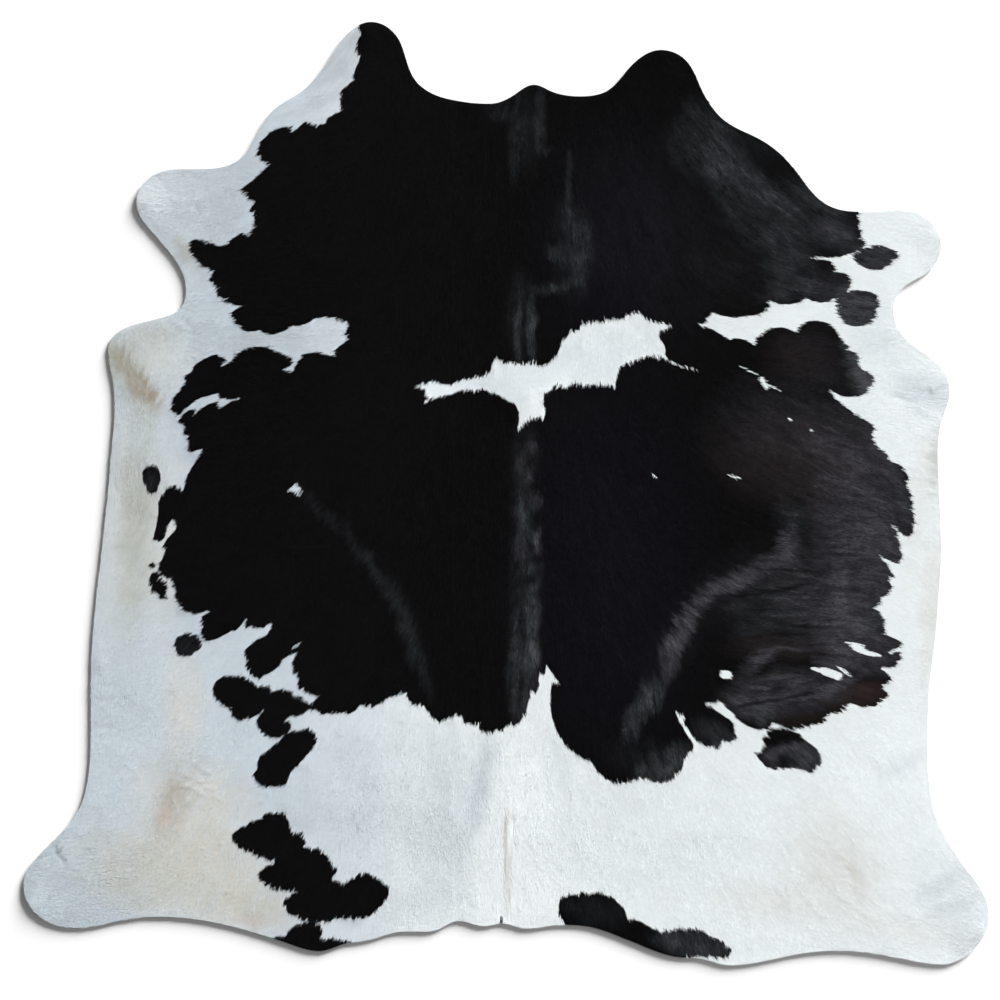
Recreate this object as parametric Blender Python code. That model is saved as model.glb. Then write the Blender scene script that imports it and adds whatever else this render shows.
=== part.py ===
"""Cowhide rug: one whole hide, hair side up, lying flat on the floor.

Metres, +Z up.  The neck points to +Y, the tail to -Y.  The origin is on the
floor under the middle of the hide's outline.

The hide is one skin: a tanned leather sheet with its short coat lying on it.
Its outline is a smooth closed edge through named landmarks, each with the
heading of the edge there.  A few soft folds and lifted tips make it lie as
unevenly as a real hide does.
"""
import math

import bmesh
import bpy
import numpy as np
from mathutils import Vector
from mathutils.geometry import delaunay_2d_cdt

# ---- driving sizes, metres ----
HIDE_WIDTH = 2.22      # across the two hind legs, tip to tip
LEATHER = 0.0022       # thickness of the tanned skin
COAT = 0.0034          # depth of the hair as it lies on the skin
EDGE_RUN = 0.0090      # how far in from the cut edge the coat reaches its full depth
EDGE_SPAN = 0.032      # longest straight along the outline
EDGE_TURN = 17.0       # most the outline turns in one straight, degrees
FIELD_SPAN = 0.090     # spacing of the points inside the outline
FLAT_BELOW = 0.0004    # less lift than this counts as lying on the floor

# ---- the outline ----
# Four runs of the edge, clockwise from the tip of the left neck flap.
# across, down: place on the hide's layout, in thousandths of the layout's side.
# heading: the way the edge runs there, degrees, 0 to the right and 90 down.
NECK_EDGE = (
    # landmark                  across    down   heading
    ("left neck flap tip",       371.5,   22.0,     1),
    ("left flap inner side",     401.5,   45.5,    69),
    ("left collar bend",         419.0,   84.5,    43),
    ("left collar",              447.0,   98.7,    13),
    ("left of crest",            491.5,  103.6,    -2),
    ("crest rise",               514.0,   95.0,   -33),
    ("crest",                    534.5,   84.8,     2),
    ("crest fall",               553.0,   92.0,    20),
    ("right collar",             585.0,   96.2,    -3),
    ("right collar bend",        610.0,   89.0,   -36),
    ("right flap inner side",    633.0,   64.0,   -44),
    ("right neck flap tip",      661.5,   50.0,     1),
    ("right flap outer bend",    684.0,   58.5,    41),
    ("right flap outer side",    700.0,   86.0,    66),
)
RIGHT_EDGE = (
    ("right neck hollow",        719.0,  115.5,    46),
    ("right shoulder start",     747.0,  133.0,    24),
    ("right shoulder",           777.0,  151.0,    41),
    ("right shoulder fall",      801.0,  178.0,    54),
    ("right armpit",             825.0,  203.5,    32),
    ("right foreleg root",       856.0,  211.6,     0),
    ("right foreleg top",        896.0,  210.0,     1),
    ("right foreleg corner",     927.0,  218.6,    39),
    ("right foreleg tip",        941.0,  244.0,    86),
    ("right foreleg underside",  931.0,  269.0,   135),
    ("right elbow fold",         905.0,  286.0,   140),
    ("right elbow hollow",       893.3,  310.0,    90),
    ("right elbow bend",         909.0,  342.0,    42),
    ("right flank corner",       940.0,  366.5,    52),
    ("right flank point",        950.0,  391.0,    91),
    ("right flank ease",         940.5,  426.0,   103),
    ("right waist",              938.8,  480.0,    87),
    ("right belly",              941.5,  545.0,    90),
    ("right belly fall",         936.5,  625.0,    94),
    ("right stifle",             928.4,  705.0,    91),
    ("right thigh",              928.0,  770.0,    85),
    ("right hock bend",          934.3,  812.0,    74),
    ("right hock",               957.0,  856.2,    56),
    ("right hind leg top",       984.0,  895.0,    64),
    ("right hind leg tip",       989.1,  916.5,    91),
    ("right hind leg corner",    974.4,  948.4,   133),
    ("right hind leg foot",      941.9,  964.0,   179),
)
TAIL_EDGE = (
    ("right leg underside",      911.5,  960.3,   191),
    ("right haunch hollow",      840.0,  950.4,   180),
    ("right haunch ease",        801.0,  953.4,   171),
    ("right rump lobe",          731.0,  965.0,   180),
    ("right rump notch",         705.0,  959.2,   195),
    ("right rump bead",          684.0,  957.6,   183),
    ("right rump fall",          629.2,  940.4,   201),
    ("right rump hollow",        590.2,  926.9,   191),
    ("right of tail hollow",     558.0,  925.0,   177),
    ("right tail lobe",          527.0,  928.4,   180),
    ("tail",                     501.3,  923.2,   180),
    ("left tail lobe",           483.0,  926.0,   184),
    ("left tail hollow",         457.5,  920.8,   176),
    ("left rump fall",           439.0,  928.8,   158),
    ("left rump ease",           403.7,  931.2,   178),
    ("left rump step",           377.7,  937.5,   160),
    ("left rump run",            350.0,  942.6,   173),
    ("left rump lobe",           318.7,  951.0,   181),
    ("left haunch run",          284.0,  941.9,   199),
    ("left haunch ease",         223.3,  924.2,   193),
    ("left haunch hollow",       151.8,  916.5,   179),
    ("left leg underside",       100.0,  925.0,   167),
    ("left hind leg foot",        67.0,  927.2,   186),
)
LEFT_EDGE = (
    ("left hind leg corner",      38.0,  915.0,   221),
    ("left hind leg tip",         23.9,  883.5,   273),
    ("left hind leg top",         43.4,  850.8,   313),
    ("left hock",                 75.9,  815.0,   302),
    ("left hock bend",            87.4,  783.6,   281),
    ("left stifle",               91.0,  722.0,   270),
    ("left belly",                93.0,  634.0,   275),
    ("left waist",               110.8,  460.0,   274),
    ("left flank point",         113.4,  382.0,   262),
    ("left flank notch",         108.4,  353.0,   268),
    ("left elbow corner",        116.0,  333.5,   322),
    ("left elbow top",           156.0,  319.0,   345),
    ("left elbow bend",          180.0,  308.6,   314),
    ("left elbow hollow",        185.7,  284.0,   262),
    ("left foreleg underside",   156.0,  236.0,   230),
    ("left foreleg tip",         137.0,  205.0,   264),
    ("left foreleg corner",      156.0,  173.6,   333),
    ("left foreleg top",         193.0,  168.9,   359),
    ("left foreleg root",        240.5,  158.5,   320),
    ("left shoulder",            269.0,  115.0,   306),
    ("left shoulder step",       299.0,   93.0,   326),
    ("left neck hollow",         330.0,   58.5,   303),
    ("left flap outer side",     344.0,   37.5,   312),
)

# ---- soft folds ----
# across, down: the middle of the fold on the layout; heading as above.
# length, width: along the crest and from crest to foot, metres.
# lift: how far the whole hide stands up there.
# swell: how far only its upper face does, metres; negative is a trough.
FOLDS = (
    # fold                       across   down  heading length  width   lift   swell
    ("right elbow crease",        922.0,  386.0,    8,  0.150, 0.016, 0.0022,  0.0000),
    ("right elbow second crease", 912.0,  405.0,   14,  0.110, 0.015, 0.0014,  0.0000),
    ("left elbow crease",         178.0,  326.0,   62,  0.110, 0.015, 0.0020,  0.0000),
    ("left hock crease",           60.0,  851.0,   64,  0.090, 0.014, 0.0020,  0.0000),
    ("left hock cross crease",     45.0,  857.0,  -12,  0.070, 0.013, 0.0012,  0.0000),
    ("right hock crease",         946.0,  870.0,  138,  0.130, 0.018, 0.0020,  0.0000),
    ("left flank ripple",         107.0,  715.0,   -4,  0.120, 0.020, 0.0016,  0.0000),
    ("left thigh ripple",         108.0,  751.0,  -10,  0.110, 0.020, 0.0012,  0.0000),
    ("tail trough",               480.0,  778.0,  106,  0.260, 0.034, 0.0000, -0.0008),
    ("crest step",                549.0,  292.0,  148,  0.110, 0.020, 0.0000,  0.0007),
)

# ---- tips of the hide that do not quite lie down ----
LIFTED_TIPS = (
    # tip                        across   down  radius   lift
    ("left hind leg",              30.0,  905.0,  0.110, 0.0045),
    ("right hind leg",            984.0,  936.0,  0.110, 0.0040),
    ("left foreleg",              138.0,  200.0,  0.090, 0.0035),
    ("right foreleg",             940.0,  240.0,  0.090, 0.0030),
    ("left neck flap",            366.0,   28.0,  0.080, 0.0030),
    ("right neck flap",           662.0,   54.0,  0.080, 0.0025),
)


def heading_vector(degrees):
    """Unit vector of a heading, on the layout (y down)."""
    a = math.radians(degrees)
    return np.array((math.cos(a), math.sin(a)))


def edge_curve(rows, span, turn):
    """Points along the smooth closed edge through the rows, on the layout.

    Between two landmarks the edge is the cubic that leaves and arrives on
    their headings.  Its handles are those of a circular arc of the same turn.
    """
    points = []
    for i, (_, x0, y0, h0) in enumerate(rows):
        _, x1, y1, h1 = rows[(i + 1) % len(rows)]
        p0, p1 = np.array((x0, y0)), np.array((x1, y1))
        bend = (h1 - h0 + 180.0) % 360.0 - 180.0
        chord = float(np.linalg.norm(p1 - p0))
        reach = chord / math.cos(math.radians(bend) / 4.0) ** 2
        t0, t1 = heading_vector(h0) * reach, heading_vector(h1) * reach
        run = (p1 - p0) / chord
        swing = sum(
            math.degrees(math.acos(max(-1.0, min(1.0, float(np.dot(run, heading_vector(h)))))))
            for h in (h0, h1)
        )
        steps = max(1, math.ceil(chord / span), math.ceil(swing / turn))
        for k in range(steps):
            t = k / steps
            a = 2 * t**3 - 3 * t**2 + 1
            b = t**3 - 2 * t**2 + t
            c = -2 * t**3 + 3 * t**2
            d = t**3 - t**2
            points.append(a * p0 + b * t0 + c * p1 + d * t1)
    return np.array(points)


EDGE_ROWS = NECK_EDGE + RIGHT_EDGE + TAIL_EDGE + LEFT_EDGE
_fine = edge_curve(EDGE_ROWS, 2.0, 5.0)
UNIT = HIDE_WIDTH / float(np.ptp(_fine[:, 0]))          # metres for one layout unit
LAYOUT_MIDDLE = (_fine.min(axis=0) + _fine.max(axis=0)) / 2


def place(points):
    """Layout units (y down) to metres on the floor (y towards the neck)."""
    p = (np.asarray(points, float).reshape(-1, 2) - LAYOUT_MIDDLE) * UNIT
    return p * (1.0, -1.0)


def inset(ring, distance):
    """A closed ring moved inwards, along the mean of its two sides' normals."""
    back = ring - np.roll(ring, 1, axis=0)
    ahead = np.roll(ring, -1, axis=0) - ring
    back /= np.linalg.norm(back, axis=1)[:, None]
    ahead /= np.linalg.norm(ahead, axis=1)[:, None]
    along = back + ahead
    along /= np.linalg.norm(along, axis=1)[:, None]
    inward = np.stack((along[:, 1], -along[:, 0]), axis=1)   # the ring runs clockwise
    return ring + inward * distance


def clear_of(points, ring, gap):
    """Which points lie inside the ring and at least gap from it."""
    a, b = ring, np.roll(ring, -1, axis=0)
    keep = []
    for p in points:
        side = b - a
        t = np.clip(((p - a) * side).sum(1) / (side**2).sum(1), 0, 1)
        near = np.linalg.norm(p - (a + side * t[:, None]), axis=1).min()
        crosses = (a[:, 1] > p[1]) != (b[:, 1] > p[1])
        x = a[:, 0] + (p[1] - a[:, 1]) * side[:, 0] / np.where(side[:, 1] == 0, 1e-12, side[:, 1])
        keep.append(near >= gap and np.count_nonzero(crosses & (p[0] < x)) % 2 == 1)
    return np.array(keep)


def fold_frame(row):
    """A fold's middle, direction and cross direction, on the floor."""
    _, across, down, heading, *_ = row
    middle = place((across, down))[0]
    along = heading_vector(heading) * (1.0, -1.0)
    return middle, along, np.array((-along[1], along[0]))


def fold_share(p, row):
    """How much of a fold's height a point takes, 0 to 1."""
    *_, length, width, _lift, _swell = row
    middle, along, cross = fold_frame(row)
    u = ((p - middle) @ along) / (length / 2)
    v = ((p - middle) @ cross) / width
    return np.exp(-v**2) * np.clip(1 - u**2, 0, 1) ** 1.5


def floor_gap(p):
    """How far the underside stands off the floor."""
    gap = np.zeros(len(p))
    for row in FOLDS:
        gap += row[6] * fold_share(p, row)
    for _, across, down, radius, lift in LIFTED_TIPS:
        r = np.linalg.norm(p - place((across, down))[0], axis=1) / radius
        gap += lift * np.clip(1 - r, 0, 1) ** 1.6
    return np.where(gap < FLAT_BELOW, 0.0, gap)


def coat_swell(p):
    """How far the upper face rises or sinks by its own unevenness."""
    swell = np.zeros(len(p))
    for row in FOLDS:
        swell += row[7] * fold_share(p, row)
    return swell


def field_points(ring):
    """Points inside the ring: an even lattice, closer together along folds and tips."""
    low, high = ring.min(axis=0), ring.max(axis=0)
    lattice = []
    row_step = FIELD_SPAN * math.sqrt(3) / 2
    rows = math.ceil((high[1] - low[1]) / row_step)
    columns = math.ceil((high[0] - low[0]) / FIELD_SPAN)
    for j in range(rows + 1):
        for i in range(columns + 2):
            lattice.append((low[0] + (i - 0.5 * (j % 2)) * FIELD_SPAN, low[1] + j * row_step))
    lattice = np.array(lattice)
    extra = []
    for row in FOLDS:
        middle, along, cross = fold_frame(row)
        length, width = row[4], row[5]
        for u in (-0.5, -0.25, 0.0, 0.25, 0.5):
            for v in (-1.6, -0.8, 0.0, 0.8, 1.6):
                extra.append(middle + along * u * length + cross * v * width)
    for _, across, down, radius, _lift in LIFTED_TIPS:
        middle = place((across, down))[0]
        for k in range(12):
            turn = math.radians(30 * k)
            for share in (0.45, 0.8):
                extra.append(middle + radius * share * np.array((math.cos(turn), math.sin(turn))))
    extra = np.array(extra)
    extra = extra[clear_of(extra, ring, 0.007)]
    chosen = []
    for p in extra:
        if all(np.linalg.norm(p - q) > 0.009 for q in chosen):
            chosen.append(p)
    lattice = lattice[clear_of(lattice, ring, FIELD_SPAN * 0.42)]
    for p in lattice:
        if all(np.linalg.norm(p - q) > FIELD_SPAN * 0.42 for q in chosen[: len(extra)]):
            chosen.append(p)
    return np.array(chosen)


def face_triangles(ring, field):
    """Triangles that fill the ring through the field's points, as indices into both."""
    count = len(ring)
    points = [Vector(p) for p in np.vstack((ring, field))]
    sides = [(i, (i + 1) % count) for i in range(count)]
    _, _, faces, origin, _, _ = delaunay_2d_cdt(points, sides, [], 1, 1e-6)
    return [[origin[i][0] for i in face] for face in faces]


def hide_mesh():
    edge = place(edge_curve(EDGE_ROWS, EDGE_SPAN / UNIT, EDGE_TURN))
    sole = inset(edge, 0.0008)       # where the cut edge meets the floor
    shoulder = inset(edge, EDGE_RUN) # where the coat reaches its full depth
    field = field_points(shoulder)
    count = len(edge)

    bm = bmesh.new()

    def add(points, heights):
        return [bm.verts.new((x, y, z)) for (x, y), z in zip(points, heights)]

    under = np.vstack((sole, field))
    over = np.vstack((shoulder, field))
    below = add(under, floor_gap(under))
    middle = add(edge, floor_gap(edge) + LEATHER)
    above = add(over, floor_gap(over) + LEATHER + COAT + coat_swell(over))

    for face in face_triangles(sole, field):
        bm.faces.new([below[i] for i in face])
    for face in face_triangles(shoulder, field):
        bm.faces.new([above[i] for i in face])
    for i in range(count):
        j = (i + 1) % count
        for low, high in ((below, middle), (middle, above)):
            bm.faces.new((low[i], low[j], high[j]))
            bm.faces.new((low[i], high[j], high[i]))
    bmesh.ops.recalc_face_normals(bm, faces=bm.faces[:])
    if sum(f.calc_area() * f.normal.z for f in bm.faces if f.calc_center_median().z > LEATHER) < 0:
        bmesh.ops.reverse_faces(bm, faces=bm.faces[:])
    mesh = bpy.data.meshes.new("hide")
    bm.to_mesh(mesh)
    bm.free()
    return mesh


def coat_material():
    material = bpy.data.materials.new("cowhide")
    material.use_nodes = True
    shader = material.node_tree.nodes["Principled BSDF"]
    shader.inputs["Base Color"].default_value = (0.62, 0.66, 0.68, 1.0)
    shader.inputs["Roughness"].default_value = 0.62
    shader.inputs["Metallic"].default_value = 0.0
    material.diffuse_color = (0.62, 0.66, 0.68, 1.0)
    return material


def main():
    for thing in list(bpy.data.objects):
        bpy.data.objects.remove(thing)
    mesh = hide_mesh()
    mesh.materials.append(coat_material())
    mesh.shade_smooth()
    mesh.set_sharp_from_angle(angle=math.radians(35))
    hide = bpy.data.objects.new("hide", mesh)
    bpy.context.scene.collection.objects.link(hide)


main()
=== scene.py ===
"""Cowhide rug: the looks of the whole hide.

The skin is a thin closed sheet of leather.  The coat is a fine sheet over it
with real relief, under some hundred thousand short hair tufts, each lying the
way the hair grows there.  Black and white patches, stains, painted sheen and
painted shade are named zones on the hide's layout, in thousandths of the
layout's side, y down, as the hide is seen from straight above with the neck
at the top.
"""
import math

import bpy
import numpy as np
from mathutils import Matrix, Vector, kdtree
from mathutils.geometry import delaunay_2d_cdt


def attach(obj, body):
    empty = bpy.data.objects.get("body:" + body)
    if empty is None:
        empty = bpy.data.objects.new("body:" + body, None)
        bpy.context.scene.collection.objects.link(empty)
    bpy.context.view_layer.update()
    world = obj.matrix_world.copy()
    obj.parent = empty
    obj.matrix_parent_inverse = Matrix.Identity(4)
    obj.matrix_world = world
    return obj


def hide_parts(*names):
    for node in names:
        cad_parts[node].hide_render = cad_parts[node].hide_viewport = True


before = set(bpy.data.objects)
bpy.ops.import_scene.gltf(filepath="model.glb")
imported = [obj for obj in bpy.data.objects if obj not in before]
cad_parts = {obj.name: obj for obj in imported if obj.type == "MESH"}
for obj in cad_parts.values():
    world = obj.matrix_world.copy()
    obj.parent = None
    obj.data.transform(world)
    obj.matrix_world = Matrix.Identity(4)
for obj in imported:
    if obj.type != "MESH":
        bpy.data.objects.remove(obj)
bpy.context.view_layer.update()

# ---- sizes of the hide, metres ----
HIDE_WIDTH = 2.22       # across the two hind legs, tip to tip
LEATHER = 0.0022        # thickness of the tanned skin
COAT = 0.0034           # depth of the hair as it lies on the skin
FLAT_BELOW = 0.0004     # less lift than this counts as lying on the floor
FOLD_SHOWS = 0.30       # how much of the solid's folds the limp hide keeps

# ---- sizes of the fine model, metres ----
UNDERCOAT = 0.0030      # how much of the coat's depth the sheet itself stands for
COAT_ROUND = 0.0010     # how far in from the cut edge the coat rounds off
COAT_SPAN = 0.0082      # spacing of the coat sheet's points
RIM_SPAN = 0.0042       # their spacing along the hide's edge
PATCH_SPAN = 0.0034     # their spacing along the edge of a patch
SKIN_SPAN = 0.0190      # spacing of the skin's points
HAIR_SPACING = 0.00265  # from one tuft's root to the next, where they are closest
HAIR_SHARE = {"white": 0.70, "black": 0.46, "gleam": 0.95, "edge": 1.0}   # of those roots, what grows
EDGE_BAND = 0.0085      # how far from a patch edge the tufts stay closest
HAIR_LENGTH = (0.0100, 0.0165)
HAIR_WIDTH = (0.0009, 0.0016)
JAG_CELL, JAG_REACH = 0.0036, 0.015   # width and length of the locks along a patch edge
JAG = 0.0052            # how far a lock carries its colour over the edge
TUFTS_A_PIECE = 98000   # two triangles a tuft

# ---- the outline: landmark, across, down, heading of the edge in degrees ----
# heading: 0 to the right and 90 down; clockwise from the left neck flap's tip
NECK_EDGE = (
    ("left neck flap tip",       371.5,   22.0,     1),
    ("left flap inner side",     401.5,   45.5,    69),
    ("left collar bend",         419.0,   84.5,    43),
    ("left collar",              447.0,   98.7,    13),
    ("left of crest",            491.5,  103.6,    -2),
    ("crest rise",               514.0,   95.0,   -33),
    ("crest",                    534.5,   84.8,     2),
    ("crest fall",               553.0,   92.0,    20),
    ("right collar",             585.0,   96.2,    -3),
    ("right collar bend",        610.0,   89.0,   -36),
    ("right flap inner side",    633.0,   64.0,   -44),
    ("right neck flap tip",      661.5,   50.0,     1),
    ("right flap outer bend",    684.0,   58.5,    41),
    ("right flap outer side",    700.0,   86.0,    66),
)
RIGHT_EDGE = (
    ("right neck hollow",        719.0,  115.5,    46),
    ("right shoulder start",     747.0,  133.0,    24),
    ("right shoulder",           777.0,  151.0,    41),
    ("right shoulder fall",      801.0,  178.0,    54),
    ("right armpit",             825.0,  203.5,    32),
    ("right foreleg root",       856.0,  211.6,     0),
    ("right foreleg top",        896.0,  210.0,     1),
    ("right foreleg corner",     927.0,  218.6,    39),
    ("right foreleg tip",        941.0,  244.0,    86),
    ("right foreleg underside",  931.0,  269.0,   135),
    ("right elbow fold",         905.0,  286.0,   140),
    ("right elbow hollow",       893.3,  310.0,    90),
    ("right elbow bend",         909.0,  342.0,    42),
    ("right flank corner",       940.0,  366.5,    52),
    ("right flank point",        950.0,  391.0,    91),
    ("right flank ease",         940.5,  426.0,   103),
    ("right waist",              938.8,  480.0,    87),
    ("right belly",              941.5,  545.0,    90),
    ("right belly fall",         936.5,  625.0,    94),
    ("right stifle",             928.4,  705.0,    91),
    ("right thigh",              928.0,  770.0,    85),
    ("right hock bend",          934.3,  812.0,    74),
    ("right hock",               957.0,  856.2,    56),
    ("right hind leg top",       984.0,  895.0,    64),
    ("right hind leg tip",       989.1,  916.5,    91),
    ("right hind leg corner",    974.4,  948.4,   133),
    ("right hind leg foot",      941.9,  964.0,   179),
)
TAIL_EDGE = (
    ("right leg underside",      911.5,  960.3,   191),
    ("right haunch hollow",      840.0,  950.4,   180),
    ("right haunch ease",        801.0,  953.4,   171),
    ("right rump lobe",          731.0,  965.0,   180),
    ("right rump notch",         705.0,  959.2,   195),
    ("right rump bead",          684.0,  957.6,   183),
    ("right rump fall",          629.2,  940.4,   201),
    ("right rump hollow",        590.2,  926.9,   191),
    ("right of tail hollow",     558.0,  925.0,   177),
    ("right tail lobe",          527.0,  928.4,   180),
    ("tail",                     501.3,  923.2,   180),
    ("left tail lobe",           483.0,  926.0,   184),
    ("left tail hollow",         457.5,  920.8,   176),
    ("left rump fall",           439.0,  928.8,   158),
    ("left rump ease",           403.7,  931.2,   178),
    ("left rump step",           377.7,  937.5,   160),
    ("left rump run",            350.0,  942.6,   173),
    ("left rump lobe",           318.7,  951.0,   181),
    ("left haunch run",          284.0,  941.9,   199),
    ("left haunch ease",         223.3,  924.2,   193),
    ("left haunch hollow",       151.8,  916.5,   179),
    ("left leg underside",       100.0,  925.0,   167),
    ("left hind leg foot",        67.0,  927.2,   186),
)
LEFT_EDGE = (
    ("left hind leg corner",      38.0,  915.0,   221),
    ("left hind leg tip",         23.9,  883.5,   273),
    ("left hind leg top",         43.4,  850.8,   313),
    ("left hock",                 75.9,  815.0,   302),
    ("left hock bend",            87.4,  783.6,   281),
    ("left stifle",               91.0,  722.0,   270),
    ("left belly",                93.0,  634.0,   275),
    ("left waist",               110.8,  460.0,   274),
    ("left flank point",         113.4,  382.0,   262),
    ("left flank notch",         108.4,  353.0,   268),
    ("left elbow corner",        116.0,  333.5,   322),
    ("left elbow top",           156.0,  319.0,   345),
    ("left elbow bend",          180.0,  308.6,   314),
    ("left elbow hollow",        185.7,  284.0,   262),
    ("left foreleg underside",   156.0,  236.0,   230),
    ("left foreleg tip",         137.0,  205.0,   264),
    ("left foreleg corner",      156.0,  173.6,   333),
    ("left foreleg top",         193.0,  168.9,   359),
    ("left foreleg root",        240.5,  158.5,   320),
    ("left shoulder",            269.0,  115.0,   306),
    ("left shoulder step",       299.0,   93.0,   326),
    ("left neck hollow",         330.0,   58.5,   303),
    ("left flap outer side",     344.0,   37.5,   312),
)

# ---- soft folds: the middle, heading, length and width, lift of the whole hide,
# swell of the upper face alone; and the tips that do not quite lie down ----
FOLDS = (
    # fold                       across   down  heading length  width   lift   swell
    ("right elbow crease",        922.0,  386.0,    8,  0.150, 0.016, 0.0022,  0.0000),
    ("right elbow second crease", 912.0,  405.0,   14,  0.110, 0.015, 0.0014,  0.0000),
    ("left elbow crease",         178.0,  326.0,   62,  0.110, 0.015, 0.0020,  0.0000),
    ("left hock crease",           60.0,  851.0,   64,  0.090, 0.014, 0.0020,  0.0000),
    ("left hock cross crease",     45.0,  857.0,  -12,  0.070, 0.013, 0.0012,  0.0000),
    ("right hock crease",         946.0,  870.0,  138,  0.130, 0.018, 0.0020,  0.0000),
    ("left flank ripple",         107.0,  715.0,   -4,  0.120, 0.020, 0.0016,  0.0000),
    ("left thigh ripple",         108.0,  751.0,  -10,  0.110, 0.020, 0.0012,  0.0000),
    ("tail trough",               480.0,  778.0,  106,  0.260, 0.034, 0.0000, -0.0008),
    ("crest step",                549.0,  292.0,  148,  0.110, 0.020, 0.0000,  0.0007),
)
LIFTED_TIPS = (
    # tip                        across   down  radius   lift
    ("left hind leg",              30.0,  905.0,  0.110, 0.0034),
    ("right hind leg",            984.0,  936.0,  0.110, 0.0040),
    ("left foreleg",              138.0,  200.0,  0.090, 0.0035),
    ("right foreleg",             940.0,  240.0,  0.090, 0.0018),
    ("left neck flap",            366.0,   28.0,  0.080, 0.0030),
    ("right neck flap",           662.0,   54.0,  0.080, 0.0025),
)
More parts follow.
